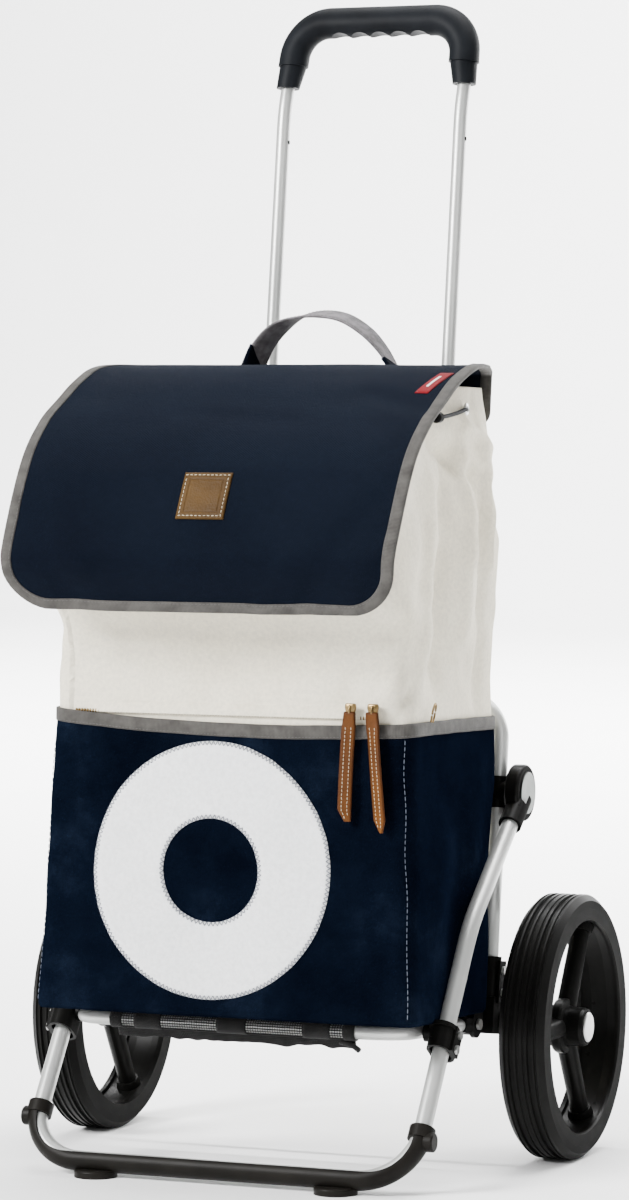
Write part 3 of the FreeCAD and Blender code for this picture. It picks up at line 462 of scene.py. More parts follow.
def lathe_x(name, centre, profile, look, body="frame"):
    """Ring turned about a line along X: profile is (x, radius), closed."""
    turns = [2 * pi * k / 28 for k in range(28)]
    loops = [[centre + Vector((x, r * cos(t), r * sin(t))) for x, r in profile] for t in turns]
    return piece(name, *tube_mesh(loops, True), look, body, slot=False)


# sections of one stitch: share along it, share of its radius, lift
STITCH = [(-1.0, 0.25, -0.3), (-0.7, 0.9, 0.35), (0.0, 1.0, 0.6), (0.7, 0.9, 0.35), (1.0, 0.25, -0.3)]


def stitches(name, path, normals, length, gap, radius, look, body, slant=0.0):
    """Row of thread stitches lying along a path of points on a surface."""
    verts, faces, marks, travelled = [], [], [], 0.0
    for a, b, na, nb in zip(path, path[1:], normals, normals[1:]):
        step = (b - a).length
        while travelled <= step and step > 0:
            f = travelled / step
            marks.append((a.lerp(b, f), na.lerp(nb, f).normalized(), (b - a) / step))
            travelled += length + gap
        travelled -= step
    for i, (centre, up, along) in enumerate(marks):
        turn = slant if i % 2 else -slant
        way = (along * cos(turn) + along.cross(up).normalized() * sin(turn)).normalized()
        side = way.cross(up).normalized()
        add_rod(verts, faces, [round_loop(centre + way * (share * length / 2) + up * (lift * radius), side, up,
                                          radius * thick, 6) for share, thick, lift in STITCH])
    return piece(name, verts, faces, look, body, cloth="xz")


# ---- bag
# front (y, z, half width) and back (y, z, half width) of the bag, from its bottom to its mouth
BAG_FRONT = [(-0.265, 0.1555, 0.186), (-0.251, 0.425, 0.177), (-0.257, 0.500, 0.178), (-0.298, 0.572, 0.179),
             (-0.280, 0.640, 0.178), (-0.234, 0.690, 0.175), (-0.150, 0.728, 0.168)]
BAG_BACK = [(-0.030, 0.143, 0.172), (-0.003, 0.420, 0.171), (0.008, 0.500, 0.167), (0.018, 0.570, 0.163),
            (0.028, 0.640, 0.160), (0.035, 0.690, 0.150), (0.041, 0.728, 0.141)]
MOUTH = len(BAG_FRONT) - 1         # level of the bag's mouth; levels count its sections from 0 at the bottom
CLOTH = 0.0025                     # thickness
CORNER, CORNER_GAIN = 0.015, 0.007  # corners at the bottom, and how much rounder they are at the pocket's edge
FRONT_STEPS, RIGHT_STEPS, BACK_STEPS, LEFT_STEPS = EDGE_STEPS = (56, 34, 40, 34)    # samples along each side
CORNER_STEPS = 7
SKIN_ROWS = 150
COLUMNS = sum(EDGE_STEPS) + 4 * (CORNER_STEPS - 1)
FRONT_LAST, FRONT_MIDDLE = FRONT_STEPS - 1, FRONT_STEPS // 2
RIGHT_EDGE = FRONT_LAST + CORNER_STEPS // 2            # columns on the front corners
LEFT_EDGE = COLUMNS - CORNER_STEPS // 2 - 1
BACK_MIDDLE = FRONT_STEPS + RIGHT_STEPS + 2 * CORNER_STEPS + BACK_STEPS // 2

def placed_folds(rows):
    """Folds moved from millimetres and the axle into the row frame."""
    return [(at(*(v / 1000 for v in a)), at(*(v / 1000 for v in b)), width / 1000, height / 1000)
            for a, b, width, height in rows]


# soft folds pressed into the cloth, in mm: from, to (points from the axle), width, height
FOLDS = placed_folds([
    ((-165, -260, 440), (-120, -270, 500), 10, -3), ((-150, -260, 436), (-60, -270, 478), 12, 2.5),
    ((-30, -260, 432), (30, -270, 500), 14, -2.5), ((60, -260, 440), (85, -280, 520), 12, 3),
    ((112, -256, 440), (158, -268, 512), 8, -5), ((140, -256, 428), (175, -255, 478), 6, 5),
    ((160, -250, 425), (178, -235, 452), 5, -4.5), ((176, -215, 440), (176, -190, 640), 14, 4),
    ((174, -165, 450), (172, -140, 660), 16, -6), ((172, -105, 500), (168, -80, 700), 15, 6),
    ((172, -60, 430), (168, -40, 640), 13, -5), ((168, -30, 560), (160, -20, 700), 10, 4),
    ((168, -210, 690), (164, -60, 640), 12, -5), ((170, -120, 705), (156, 10, 670), 9, 4),
    ((-176, -215, 440), (-176, -190, 640), 14, 4), ((-172, -120, 450), (-170, -100, 680), 16, -5),
    ((-170, -60, 470), (-165, -40, 680), 13, 4), ((-80, 12, 440), (-60, 30, 660), 16, -3),
    ((80, 12, 480), (50, 35, 690), 16, -3),
])
# the same for the stiffer pocket
POCKET_FOLDS = placed_folds([
    ((-186, -262, 175), (-150, -262, 300), 22, -4), ((-130, -262, 160), (-60, -262, 185), 18, 3),
    ((186, -262, 170), (130, -258, 260), 20, -4.5), ((150, -262, 160), (178, -262, 230), 14, 4.5),
    ((172, -258, 300), (120, -255, 360), 20, -3.5), ((183, -225, 180), (178, -170, 330), 24, 5),
    ((182, -170, 165), (178, -110, 300), 22, -5.5), ((178, -200, 390), (178, -110, 320), 20, -4.5),
    ((176, -60, 390), (178, -120, 180), 20, 4.5), ((174, -20, 330), (174, -50, 170), 16, -4),
    ((-180, -190, 180), (-178, -140, 350), 22, 4.5), ((-178, -110, 190), (-176, -70, 360), 20, -4.5),
])


def fold_depth(p, folds):
    """Height of all the folds at a point, outwards."""
    total = 0.0
    for a, b, width, height in folds:
        along = b - a
        part = (p - a).dot(along) / along.length_squared
        away = (p - (a + along * clamp(part))).length
        if away < 3 * width:
            total += height * bell(away, width) * max(sin(pi * clamp(part + 0.2, 0.0, 1.4) / 1.4), 0.0)
    return total


def wander(p, scale, seed):
    return waver(p.x * scale + seed, p.y * scale, p.z * scale)


def ring_points(t):
    """Rounded four-sided section of the bag at level t, from the front left corner round to the right."""
    fy, fz, fw = catmull(BAG_FRONT, t)
    by, bz, bw = catmull(BAG_BACK, t)
    corners = [at(-fw, fy, fz), at(fw, fy, fz), at(bw, by, bz), at(-bw, by, bz)]
    round_by = CORNER + CORNER_GAIN * min(t, 1.0)
    points = []
    for k in range(4):
        a, b, c = corners[k], corners[(k + 1) % 4], corners[(k + 2) % 4]
        along, leave = (b - a).normalized(), (c - b).normalized()
        start, end = b - along * round_by, b + leave * round_by
        points += [(a + along * round_by).lerp(start, f) for f in spread(0, 1, EDGE_STEPS[k])]
        for i in range(1, CORNER_STEPS):
            f = i / CORNER_STEPS
            points.append(start.lerp(b, f).lerp(b.lerp(end, f), f))
    return points


def softness(p, t, out):
    """How far the loose cloth stands out of the plain section."""
    back, side = max(out.y, 0.0), abs(out.x)
    if t < 1:
        loose = (0.0028 * (1 - back) + 0.0005) * (wander(p, 9, 3.1) + 0.5 * wander(p, 23, 8.2))
        pressed = fold_depth(p, POCKET_FOLDS) * sin(pi * clamp(t, 0.05, 0.97))
        return loose + 0.3 * fold_depth(p, FOLDS) * (1 - side) + pressed
    amount = (0.0040 + 0.0040 * side) * (1 - 0.8 * back) * min((t - 1) * 2, 1.0) + 0.0008
    loose = amount * (wander(p, 8, 1.7) + 0.6 * wander(p, 19, 4.4) + 0.3 * wander(p, 43, 9.5))
    return loose + fold_depth(p, FOLDS) * (1.5 + 0.5 * side - 0.9 * back)


def skin_row(t):
    """Points of the cloth at level t, each with its direction outwards."""
    points, row = ring_points(t), []
    for i, p in enumerate(points):
        a, b = points[i - 1], points[(i + 1) % len(points)]
        out = Vector((b.y - a.y, a.x - b.x, 0)).normalized()
        row.append((p + out * softness(p, t, out), out))
    return row


SKIN = [skin_row(t) for t in spread(0.0, MOUTH, SKIN_ROWS)]


def on_bag(column, t, lift=0.0):
    """Point at a column and a level, lifted off the cloth."""
    place = clamp(t, 0.0, MOUTH) / MOUTH * (SKIN_ROWS - 1)
    i = min(int(place), SKIN_ROWS - 2)
    (p, n), (q, m) = SKIN[i][column], SKIN[i + 1][column]
    return p.lerp(q, place - i) + n.lerp(m, place - i) * lift


FULLEST = 3.0                      # level at which the bag stands out furthest in front
HALVINGS = 18                      # steps of the search for a level, fine enough for 0.01 mm


def level_at(column, z):
    """Level at which a column reaches a height, up to the fullest part of the bag."""
    low, high = 0.0, FULLEST
    for _ in range(HALVINGS):
        middle = (low + high) / 2
        if on_bag(column, middle).z < z:
            low = middle
        else:
            high = middle
    return low


def on_front(x, z, lift=0.0):
    """Point of the bag's front at a width and a height."""
    t = level_at(FRONT_MIDDLE, z)
    first, last = on_bag(0, t).x, on_bag(FRONT_LAST, t).x
    place = clamp((x - first) / (last - first), 0.0, 0.9999) * FRONT_LAST
    j = int(place)
    return on_bag(j, t, lift).lerp(on_bag(j + 1, t, lift), place - j)


def cloth_places(rows):
    """Distance round and height of each point, in metres."""
    return [(run, p.z) for row in rows for run, p in zip(runs(row), row)]


def build_bag():
    outer, inner = ([[on_bag(j, t, lift) for j in range(COLUMNS)] for t in spread(0.0, MOUTH, 110)]
                    for lift in (0.0, -CLOTH))
    piece("bag_shell", *shell_mesh(outer, inner, True), "white_canvas", "frame",
          ["front_panel_upper", "front_panel_lower", "side_panels_upper", "back_panel"], cloth_places(outer) * 2)


POCKET_REACH = 16                  # columns that the pocket reaches past the back end of the bag's sides
POCKET_COLUMNS = [*range(COLUMNS - LEFT_STEPS - POCKET_REACH, COLUMNS),
                  *range(FRONT_STEPS + RIGHT_STEPS + POCKET_REACH)]
POCKET_LIFT = 0.0022
TAPE = 0.0125                      # height of the tape on the pocket's edge
POCKET_LOW = 0.410                 # below this height nothing of the tape hangs


# ---- pocket
def pocket_edge(column):
    """Height of the pocket's top edge, which sags between its corners."""
    p = on_bag(column, 1.0)
    u = clamp(p.x / 0.177, -1.0)
    behind = clamp((p.y - at(0, -0.24, 0).y) / 0.23)
    return 0.4193 + 0.0072 * u * u - 0.0029 * u - 0.0055 * behind


def pocket_swell(t):
    return POCKET_LIFT + 0.0012 * sin(pi * min(t, 1.0))


def build_pocket():
    tops = {j: level_at(j, pocket_edge(j) - 0.001) for j in POCKET_COLUMNS}
    shares = spread(0.0, 1.0, 60)
    outer = [[on_bag(j, tops[j] * share, pocket_swell(share)) for j in POCKET_COLUMNS] for share in shares]
    inner = [[on_bag(j, tops[j] * share, 0.0004) for j in POCKET_COLUMNS] for share in shares]
    # the bottom hem turns under with a small radius
    hem, roll = 0.004, []
    for turn in (radians(80), radians(55), radians(30)):
        lift, drop = POCKET_LIFT - hem * (1 - cos(turn)), Z * (hem * sin(turn))
        roll.append([on_bag(j, 0.0, lift) - drop for j in POCKET_COLUMNS])
    inner = [[p - Z * hem for p in inner[0]]] * len(roll) + inner
    outer = roll + outer
    piece("pocket_cloth", *shell_mesh(outer, inner), "navy_velvet", "frame", ["pocket_panel", "side_panels_lower"],
          cloth_places(outer) * 2)


def build_pocket_tape():
    """Ribbed tape folded over the pocket's edge: section as (lift, height from the edge)."""
    thick = 0.0009
    out = POCKET_LIFT + 0.0004
    section = [(out, -TAPE), (out + thick, -TAPE + 0.0006), (out + thick, -TAPE / 2), (out + thick, -0.0012),
               (out + thick / 2, -0.0002), (out - 0.0006, 0.0002), (out - 0.0018, -0.0004), (0.0003, -0.0016),
               (0.0003, -0.006), (0.0008, -0.007), (0.0012, -0.006), (out - thick, -0.0016), (out, -0.0020)]
    edges = {j: (pocket_edge(j) + 0.0006 * wander(on_bag(j, 1.0), 30, 2.2)) for j in POCKET_COLUMNS}
    loops = [[on_bag(j, level_at(j, edges[j] + dz), lift) for lift, dz in section] for j in POCKET_COLUMNS]
    places = [(run, dz) for run in runs([loop[0] for loop in loops]) for _, dz in section]
    piece("pocket_tape", *tube_mesh(loops), "grey_webbing", "frame", ["pocket_binding"], places)
    low = [on_bag(j, level_at(j, edges[j] - TAPE + 0.0018), out + thick) for j in POCKET_COLUMNS]
    stitches("pocket_tape_stitches", low, [SKIN[0][j][1] for j in POCKET_COLUMNS], 0.0024, 0.0010, 0.00022,
             "grey_thread", "frame")


def build_corner_stitches():
    for name, column in (("right", RIGHT_EDGE), ("left", LEFT_EDGE)):
        path = []
        for i, t in enumerate(spread(0.02, level_at(column, POCKET_LOW), 60)):
            path.append(on_bag(column, t, pocket_swell(t) + 0.0002) + X * (0.0006 * sin(i * 0.35)))
        stitches("pocket_stitches_" + name, path, [SKIN[0][column][1]] * len(path), 0.0042, 0.0014, 0.00036,
                 "blue_thread", "frame")


# how far out from the middle, as a share, and how far the bottom hangs there
BOTTOM = [(1.0, 0.0005), (0.985, 0.003), (0.96, 0.004), (0.93, 0.0045), (0.6, 0.0045), (0.02, 0.0045)]


def build_bottom():
    base = [on_bag(j, 0.0) for j in range(COLUMNS)]
    middle = sum(base, Vector()) / len(base)
    rows = [[middle.lerp(p, share) - Z * drop for p in base] for share, drop in BOTTOM]
    upper = [[p + Z * 0.002 for p in row] for row in rows]
    piece("bag_bottom_cloth", *shell_mesh(rows, upper, True), "navy_canvas", "frame", ["bag_bottom"], "xy")


# ---- ring sewn on the pocket
RING_X, RING_Z = -0.012, 0.285
RING_OUT, RING_IN = 0.1175, 0.0475
RING_THICK = 0.0010
ZIGZAG_SWAY, ZIGZAG_PITCH = 0.0020, 0.0021


def ring_point(radius, angle, lift):
    x, z = RING_X + radius * cos(angle), RING_Z + radius * sin(angle)
    return on_front(x, z, pocket_swell(level_at(FRONT_MIDDLE, z)) + lift)


def build_ring():
    """Plain white ring of sailcloth, its two edges oversewn in a zigzag."""
    around, wide = 150, RING_OUT - RING_IN

    def point(share, angle):
        edge = min(share, 1 - share) * wide
        puff = RING_THICK * (1 - 0.6 * exp(-edge / 0.0012)) + 0.0004 * bell(edge - 0.006, 0.004)
        pucker = 0.00025 * sin(angle * 46) * exp(-edge / 0.004)
        radius = RING_IN + wide * share + 0.0004 * waver(angle * 9, share * 2, 5.0)
        return ring_point(radius, angle, 0.0001), ring_point(radius, angle, puff + pucker)

    sheet("ring_applique", spread(0, 1, 15), [2 * pi * k / around for k in range(around)], point, "white_twill",
          "frame", cloth="xz", wrap=True)
    for name, radius in (("outside", RING_OUT - 0.0016), ("inside", RING_IN + 0.0016)):
        steps = int(2 * pi * radius / ZIGZAG_PITCH)
        zigzag("ring_stitches_" + name, [ring_point(radius + (ZIGZAG_SWAY if k % 2 else -ZIGZAG_SWAY),
                                                    2 * pi * k / steps, RING_THICK + 0.0001)
                                         for k in range(steps + 1)])


def zigzag(name, path):
    """One thread laid through a list of points on the bag's front."""
    up, radius = -Y, 0.00036
    verts, faces = [], []
    for a, b in zip(path, path[1:]):
        side = (b - a).cross(up).normalized()
        add_rod(verts, faces, [round_loop(p + up * (lift * radius), side, up, radius, 4)
                               for p, lift in ((a, -0.4), (a.lerp(b, 0.5), 1.0), (b, -0.4))], False)
    piece(name, verts, faces, "zigzag_thread", "frame", cloth="xz")


# ---- zip and its pulls
def pull_bar(name):
    return Vector((middle_of(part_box("zip_pull_" + name)).x, at(0, -0.261, 0).y, 0.4315))


PULL_BARS = {name: pull_bar(name) for name in ("inner", "outer")}
ZIP_HALF, ZIP_LOW, ZIP_HIGH = 0.152, 0.4262, 0.4390
TOOTH_PITCH = 0.0028


def build_zip():
    """Cream fly over the zip, and the row of its teeth below it."""
    # height and lift of the fly's section, from its loose lower edge to its sewn upper one
    section = [(ZIP_LOW + 0.0004, 0.0026), (ZIP_LOW, 0.0034), (ZIP_LOW + 0.0012, 0.0038), (ZIP_LOW + 0.006, 0.0024),
               (ZIP_HIGH - 0.003, 0.0004), (ZIP_HIGH, -0.0012), (ZIP_HIGH - 0.002, -0.0012),
               (ZIP_LOW + 0.005, 0.0004)]
    sunk, loops = 0.0012, []
    for x in spread(-ZIP_HALF, ZIP_HALF, 70):
        ease = 0.0004 * waver(x * 40, 3.0)
        share = min(1.0, (ZIP_HALF - abs(x)) / 0.040)
        loops.append([on_front(x, z, (lift + ease + sunk) * share - sunk) for z, lift in section])
    piece("zip_fly", *tube_mesh(loops), "white_canvas", "frame", ["zip_tape"], "xz", "zip_tape")
    teeth, faces = [], []
    for i in range(int(2 * ZIP_HALF / TOOTH_PITCH)):
        x = -ZIP_HALF + i * TOOTH_PITCH
        if all(abs(x - bar.x) >= 0.006 for bar in PULL_BARS.values()):
            middle = on_front(x, ZIP_LOW + 0.0012, 0.0006)
            add_rod(teeth, faces, [round_loop(middle + X * dx, Y * 0.0011, Z * 0.0019, bulge, 6) for dx, bulge in
                                   ((-0.0010, 0.4), (-0.0005, 1.0), (0.0005, 1.0), (0.0010, 0.4))])
    piece("zip_teeth", teeth, faces, "zip_metal", "frame", slot=False)


# the zip slider from its narrow end to its wide one: share of its height, half width, half depth
SLIDER = [(0.0, 0.0030, 0.0012), (0.06, 0.0038, 0.0020), (0.35, 0.0042, 0.0024), (0.70, 0.0053, 0.0025),
          (0.93, 0.0050, 0.0021), (1.0, 0.0040, 0.0012)]


def squared(value):
    """Moves a cosine or a sine from a circle to a rounded square."""
    return copysign(abs(value) ** 0.55, value)


def build_slider(body):
    """Cast zip slider with rounded shoulders and the bridge that its pull hangs from."""
    low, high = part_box(body)
    middle = middle_of((low, high))
    turns = [2 * pi * k / 20 for k in range(20)]
    loops = []
    for t in spread(0, len(SLIDER) - 1, 26):
        share, half, deep = catmull(SLIDER, t)
        z = low[2] + share * (high[2] - low[2])
        loops.append([Vector((middle.x + squared(cos(a)) * half, middle.y + squared(sin(a)) * deep, z))
                      for a in turns])
    piece(body + "_body", *tube_mesh(loops), "zip_metal", body, [body])
    arch = [middle + Vector((0, -0.0018 - 0.0024 * sin(a), 0.0045 * cos(a))) for a in spread(0, pi, 17)]
    wire(body + "_bridge", arch, 0.0008, "zip_metal", body)


LEAF = 0.0006                      # half the thickness of the leather
PULL_TIP = 0.011                   # length over which a pull's end is cut to its point


def build_pull(name, length, half, sway, turn, cuts):
    """Leather strip folded over the slider's bar, its two leaves sewn together with two rows.

    sway is how far it hangs to the side, turn how far it spins, and cuts are how far its left and right
    edges are cut back where the strip ends.
    """
    bar, body = PULL_BARS[name], "zip_pull_" + name
    down = [0.5 * (1 - cos(pi * i / 44)) * length for i in range(44, -1, -1)]
    # y, z, direction outwards and distance from the bar: up the front leaf, over the bar, down the back one
    front, back = ([(side * (LEAF + 0.0010 * exp(-d / 0.006)), -d, Y * side, d) for d in down] for side in (-1, 1))
    over = [(-0.0016 * cos(a), 0.0016 * sin(a), Vector((0, -cos(a), sin(a))), 0.0)
            for a in (radians(45), radians(90), radians(135))]
    marks = front + over + back[::-1]

    def place(y, z, d, x):
        leaning_out = -0.030 * d - 0.0012 * sin(pi * min(d / length, 1.0))
        spun = turn * min(d / 0.02, 1.0)
        px, py = x * cos(spun) - y * sin(spun), x * sin(spun) + y * cos(spun)
        return bar + Vector((px + sway * d, py + leaning_out, z))

    def edges(d):
        near = max(0.0, 1 - (length - d) / PULL_TIP)
        neck = 0.82 + 0.18 * min(d / 0.012, 1.0)
        return -half * neck + cuts[0] * near * half, half * neck - cuts[1] * near * half

    def point(mark, share):
        y, z, normal, d = mark
        left, right = edges(d)
        x = left + (right - left) * share
        thin = LEAF * (0.55 + 0.45 * min(min(x - left, right - x) / 0.0008, 1.0))
        return [place(y + normal.y * lift, z + normal.z * lift, d, x) for lift in (thin, -LEAF * 0.9)]

    sheet("leather_pull_" + name, marks, spread(0, 1, 9), point, "tan_leather", body, [body], ())
    for row, side in SIDES:
        path = []
        for d in spread(0.013, length - 0.0035, 50):
            left, right = edges(d)
            path.append(place(-LEAF * 2 - 0.0001, -d, d, (left + right) / 2 + side * 0.42 * (right - left) / 2))
        stitches("pull_stitches_%s_%s" % (name, row), path, [-Y] * 50, 0.0024, 0.0011, 0.00034, "cream_thread", body,
                 0.12)


def build_wire_loop():
    """Bent wire eye that stands up leaning at the end of the zip."""
    path = []
    for angle in spread(radians(-60), radians(240), 21):
        tall = 0.0088 * sin(angle) + 0.004
        path.append(at(0.1785, -0.2005, 0.426) + Vector((0.0022, 0.0036 * cos(angle) + 0.55 * tall, tall)))
    wire("wire_loop", path, 0.0010, "zip_metal", "frame", slot=False)


# ---- flap
# y, z and half width of the flap's outside, from its hem at the back, over the top, to its front hem
FLAP_LINE = [(0.0500, 0.693, 0.1425), (0.0485, 0.718, 0.1440), (0.0465, 0.738, 0.1455), (0.0390, 0.7447, 0.148),
             (0.0050, 0.7462, 0.1600), (-0.030, 0.7475, 0.1715), (-0.060, 0.748, 0.181), (-0.124, 0.747, 0.194),
             (-0.170, 0.735, 0.194), (-0.210, 0.717, 0.194), (-0.248, 0.696, 0.194), (-0.288, 0.658, 0.193),
             (-0.327, 0.588, 0.192), (-0.333, 0.560, 0.191), (-0.318, 0.522, 0.187)]
FLAP_HALF = 0.0012                 # half the flap's thickness
FLAP_CORNERS = (0.012, 0.040)      # radius of its corners, behind and in front
FLAP_DIP = 0.345                   # a shallow dent across the flap below its top
# soft creases in the flap: from and to as (x, s), width, height
FLAP_CREASES = [((0.105, 0.552), (0.165, 0.450), 0.012, -0.0022), ((0.060, 0.556), (0.100, 0.500), 0.010, 0.0014),
                ((0.150, 0.545), (0.182, 0.490), 0.009, 0.0018), ((-0.120, 0.553), (-0.170, 0.470), 0.014, -0.0020),
                ((-0.060, 0.340), (0.060, 0.352), 0.012, -0.0008), ((0.120, 0.300), (0.180, 0.330), 0.012, -0.0014)]
FLAP_TAPE = 0.0105
TAPE_THICK = 0.0009


def flap_wave(x, s):
    """Rise of the flap's middle surface off the line: soft waves, and sides that droop a little."""
    soft = 0.0016 * waver(x * 7, s * 7, 0.4) + 0.0007 * waver(x * 17, s * 14, 2.0)
    droop = 0.0030 * (abs(x) / 0.19) ** 4 * clamp((s - 0.2) / 0.1)
    dip = 0.0022 * bell(s - FLAP_DIP, 0.030) * cos(pi * min(abs(x) / 0.38, 0.5))
    crease = 0.0
    for (x0, s0), (x1, s1), width, height in FLAP_CREASES:
        dx, ds = x1 - x0, s1 - s0
        part = clamp(((x - x0) * dx + (s - s0) * ds) / (dx * dx + ds * ds))
        crease += height * bell(hypot(x - x0 - dx * part, s - s0 - ds * part), width)
    return -FLAP_HALF - 0.0004 + soft - droop - dip + crease


class Flap:
    """Cloth cut flat, x across and s along, laid over the flap's line."""

    def __init__(self):
        line = [catmull(FLAP_LINE, i / 24) for i in range((len(FLAP_LINE) - 1) * 24 + 1)]
        self.marks = [(run, *p) for run, p in zip(runs([p[:2] for p in line]), line)]
        self.length = self.marks[-1][0]

    def at(self, s):
        s = clamp(s, 0.0, self.length)
        i = min(bisect.bisect_right(self.marks, (s,)), len(self.marks) - 1)
        a, b = self.marks[max(i - 1, 0)], self.marks[i]
        f = (s - a[0]) / (b[0] - a[0]) if b[0] > a[0] else 0.0
        return [p + (q - p) * f for p, q in zip(a[1:], b[1:])]

    def find(self, y, z):
        """Distance along the line of its nearest point."""
        return min(self.marks, key=lambda m: hypot(m[1] - y, m[2] - z))[0]

    def half(self, s):
        w = self.at(s)[2]
        for end, radius in ((s, FLAP_CORNERS[0]), (self.length - s, FLAP_CORNERS[1])):
            if end < radius:
                w -= radius - sqrt(max(radius ** 2 - (radius - end) ** 2, 0.0))
        return w

    def place(self, x, s, lift=0.0):
        y, z, _ = self.at(s)
        (y0, z0, _), (y1, z1, _) = self.at(s - 0.004), self.at(s + 0.004)
        size = hypot(y1 - y0, z1 - z0)
        rise = lift + flap_wave(x, s)
        return at(x, y + (z1 - z0) / size * rise, z - (y1 - y0) / size * rise)

    def up(self, x, s, lift):
        return (self.place(x, s, lift) - self.place(x, s)).normalized()

    def outline(self):
        """Closed outline as (x, s), up the right side, along the last hem and back."""
        first, last = FLAP_CORNERS
        straight = self.length - first - last
        count = int(straight / 0.004)
        along = [first - first * cos(angle) for angle in spread(0, pi / 2, 9)]
        along += [first + straight * i / count for i in range(1, count)]
        along += [self.length - last + last * sin(angle) for angle in spread(0, pi / 2, 11)]
        right = [(self.half(s), s) for s in along]
        hem = [(right[-1][0] * (1 - i / 25), self.length) for i in range(1, 50)]
        base = [(right[0][0] * (i / 15 - 1), 0.0) for i in range(1, 30)]
        return right + hem + [(-x, s) for x, s in reversed(right)] + base


FLAP = Flap()


def flap_blend(made):
    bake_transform(made)


def build_flap():
    along = [FLAP.length * 0.5 * (1 - cos(turn)) for turn in spread(0, pi, 150)]
    rows = [(s, FLAP.half(s) - 0.0008) for s in along]
    area = sum((a + b) * (t - s) for (s, a), (t, b) in zip(rows, rows[1:]))

    def point(row, share):
        s, half = row
        return FLAP.place(half * share, s, FLAP_HALF), FLAP.place(half * share, s, -FLAP_HALF), (half * share, s)

    cloth = sheet("flap_cloth", rows, spread(-1, 1, 56), point, "navy_canvas", None, ["flap_panel", "flap_back"])
    flap_blend(cloth)
    tape = build_flap_tape()
    widest = max(m[3] for m in FLAP.marks)


def build_flap_tape():
    """Ribbed tape folded over the flap's whole edge, swept as a thin U."""
    wide, t = FLAP_TAPE, FLAP_HALF + 0.0001
    top = t + TAPE_THICK
    section = [(wide, t), (wide - 0.0005, top), (wide / 2, top), (0.0012, top), (-0.0004, t + 0.0002),
               (-0.0009, 0.0), (-0.0004, -t - 0.0002), (0.0012, -top), (wide / 2, -top), (wide - 0.0005, -top),
               (wide, -t), (0.0012, -t), (0.0004, 0.0), (0.0012, t)]
    inset = wide - 0.0016
    outline = FLAP.outline()
    loops, seam_path, seam_up = [], [], []
    for i, (x, s) in enumerate(outline):
        (x0, s0), (x1, s1) = outline[i - 1], outline[(i + 1) % len(outline)]
        size = hypot(x1 - x0, s1 - s0)
        nx, ns = -(s1 - s0) / size, (x1 - x0) / size
        loops.append([FLAP.place(x + nx * d, s + ns * d, lift) for d, lift in section])
        seam_path.append(FLAP.place(x + nx * inset, s + ns * inset, top))
        seam_up.append(FLAP.up(x + nx * inset, s + ns * inset, top))
    places = [(run, d) for run in runs(outline) for d, _ in section]
    tape = piece("flap_tape", *tube_mesh(loops, True), "grey_webbing", None, ["flap_binding"], places)
    flap_blend(tape)
    flap_blend(stitches("flap_tape_stitches", seam_path, seam_up, 0.0026, 0.0011, 0.00022, "grey_thread", None))
    return tape


def flap_plate(name, xs, ss, height, shape, steps, look, replaces=(), lean=0.0):
    """Thin piece that lies on the flap; shape gives its height at a distance from its edge."""
    (x0, x1), (s0, s1) = xs, ss

    def point(s, x):
        leant = x + lean * (s - (s0 + s1) / 2)
        rise = FLAP_HALF + height * shape(min(x - x0, x1 - x, s - s0, s1 - s))
        return FLAP.place(leant, s, rise), FLAP.place(leant, s, FLAP_HALF + 0.00005), (x, s)

    sheet(name, spread(s0, s1, steps), spread(x0, x1, steps), point, look, "flap", replaces)


def build_patch():
    """Blank leather patch with a pressed frame line, sewn down round its edge."""
    half, inset = 0.0235, 0.0030
    s0, s1 = FLAP.find(-0.2946, 0.6461), FLAP.find(-0.3172, 0.6055)

    def shape(edge):
        rounded = 0.45 + 0.55 * min(edge / 0.0012, 1.0)
        return rounded - 0.28 * bell(edge - 0.0072, 0.0007) - 0.16 * bell(edge - inset, 0.0008)

    flap_plate("leather_patch_hide", (-half, half), (s0, s1), 0.0019, shape, 84, "patch_leather", ["leather_patch"])
    a, b, c, d = -half + inset, half - inset, s0 + inset, s1 - inset
    corners = [(a, c), (b, c), (b, d), (a, d), (a, c)]
    line = [(x0 + (x1 - x0) * i / 12, p0 + (p1 - p0) * i / 12) for (x0, p0), (x1, p1) in zip(corners, corners[1:])
            for i in range(12)]
    lift = FLAP_HALF + 0.0017
    stitches("patch_stitches", [FLAP.place(x, s, lift) for x, s in line], [FLAP.up(x, s, lift) for x, s in line],
             0.0028, 0.0013, 0.00034, "cream_thread", "flap", 0.1)


def build_tag():
    """Folded red cloth tag beside the flap's edge, with a plain white woven middle."""
    s0, s1 = FLAP.find(-0.154, 0.7395), FLAP.find(-0.198, 0.7225)
    length, lean = s1 - s0, -0.18

    def soft(edge):
        return 0.5 + 0.5 * min(edge / 0.0008, 1.0)

    flap_plate("side_tag_cloth", (0.1645, 0.1775), (s0, s1), 0.0013, soft, 16, "red_tag", ["side_tag"], lean)
    flap_plate("side_tag_label", (0.1688, 0.1722), (s0 + 0.20 * length, s1 - 0.22 * length), 0.0016, soft, 12,
               "label_white", lean=lean)


# ---- carry strap
# x, z and twist in degrees along the strap; a positive twist shows its underside in front
STRAP_LINE = [(-0.0715, 0.7455, 43), (-0.0600, 0.7680, 36), (-0.0440, 0.7845, 22), (-0.0225, 0.7950, -4),
              (0.0, 0.7978, -14), (0.0235, 0.7940, -15), (0.0455, 0.7812, -13), (0.0620, 0.7645, -6),
              (0.0750, 0.7455, 2)]
STRAP_END = len(STRAP_LINE) - 1
STRAP_Y = -0.030
STRAP_HALF = 0.0125
STRAP_THICK = 0.0013
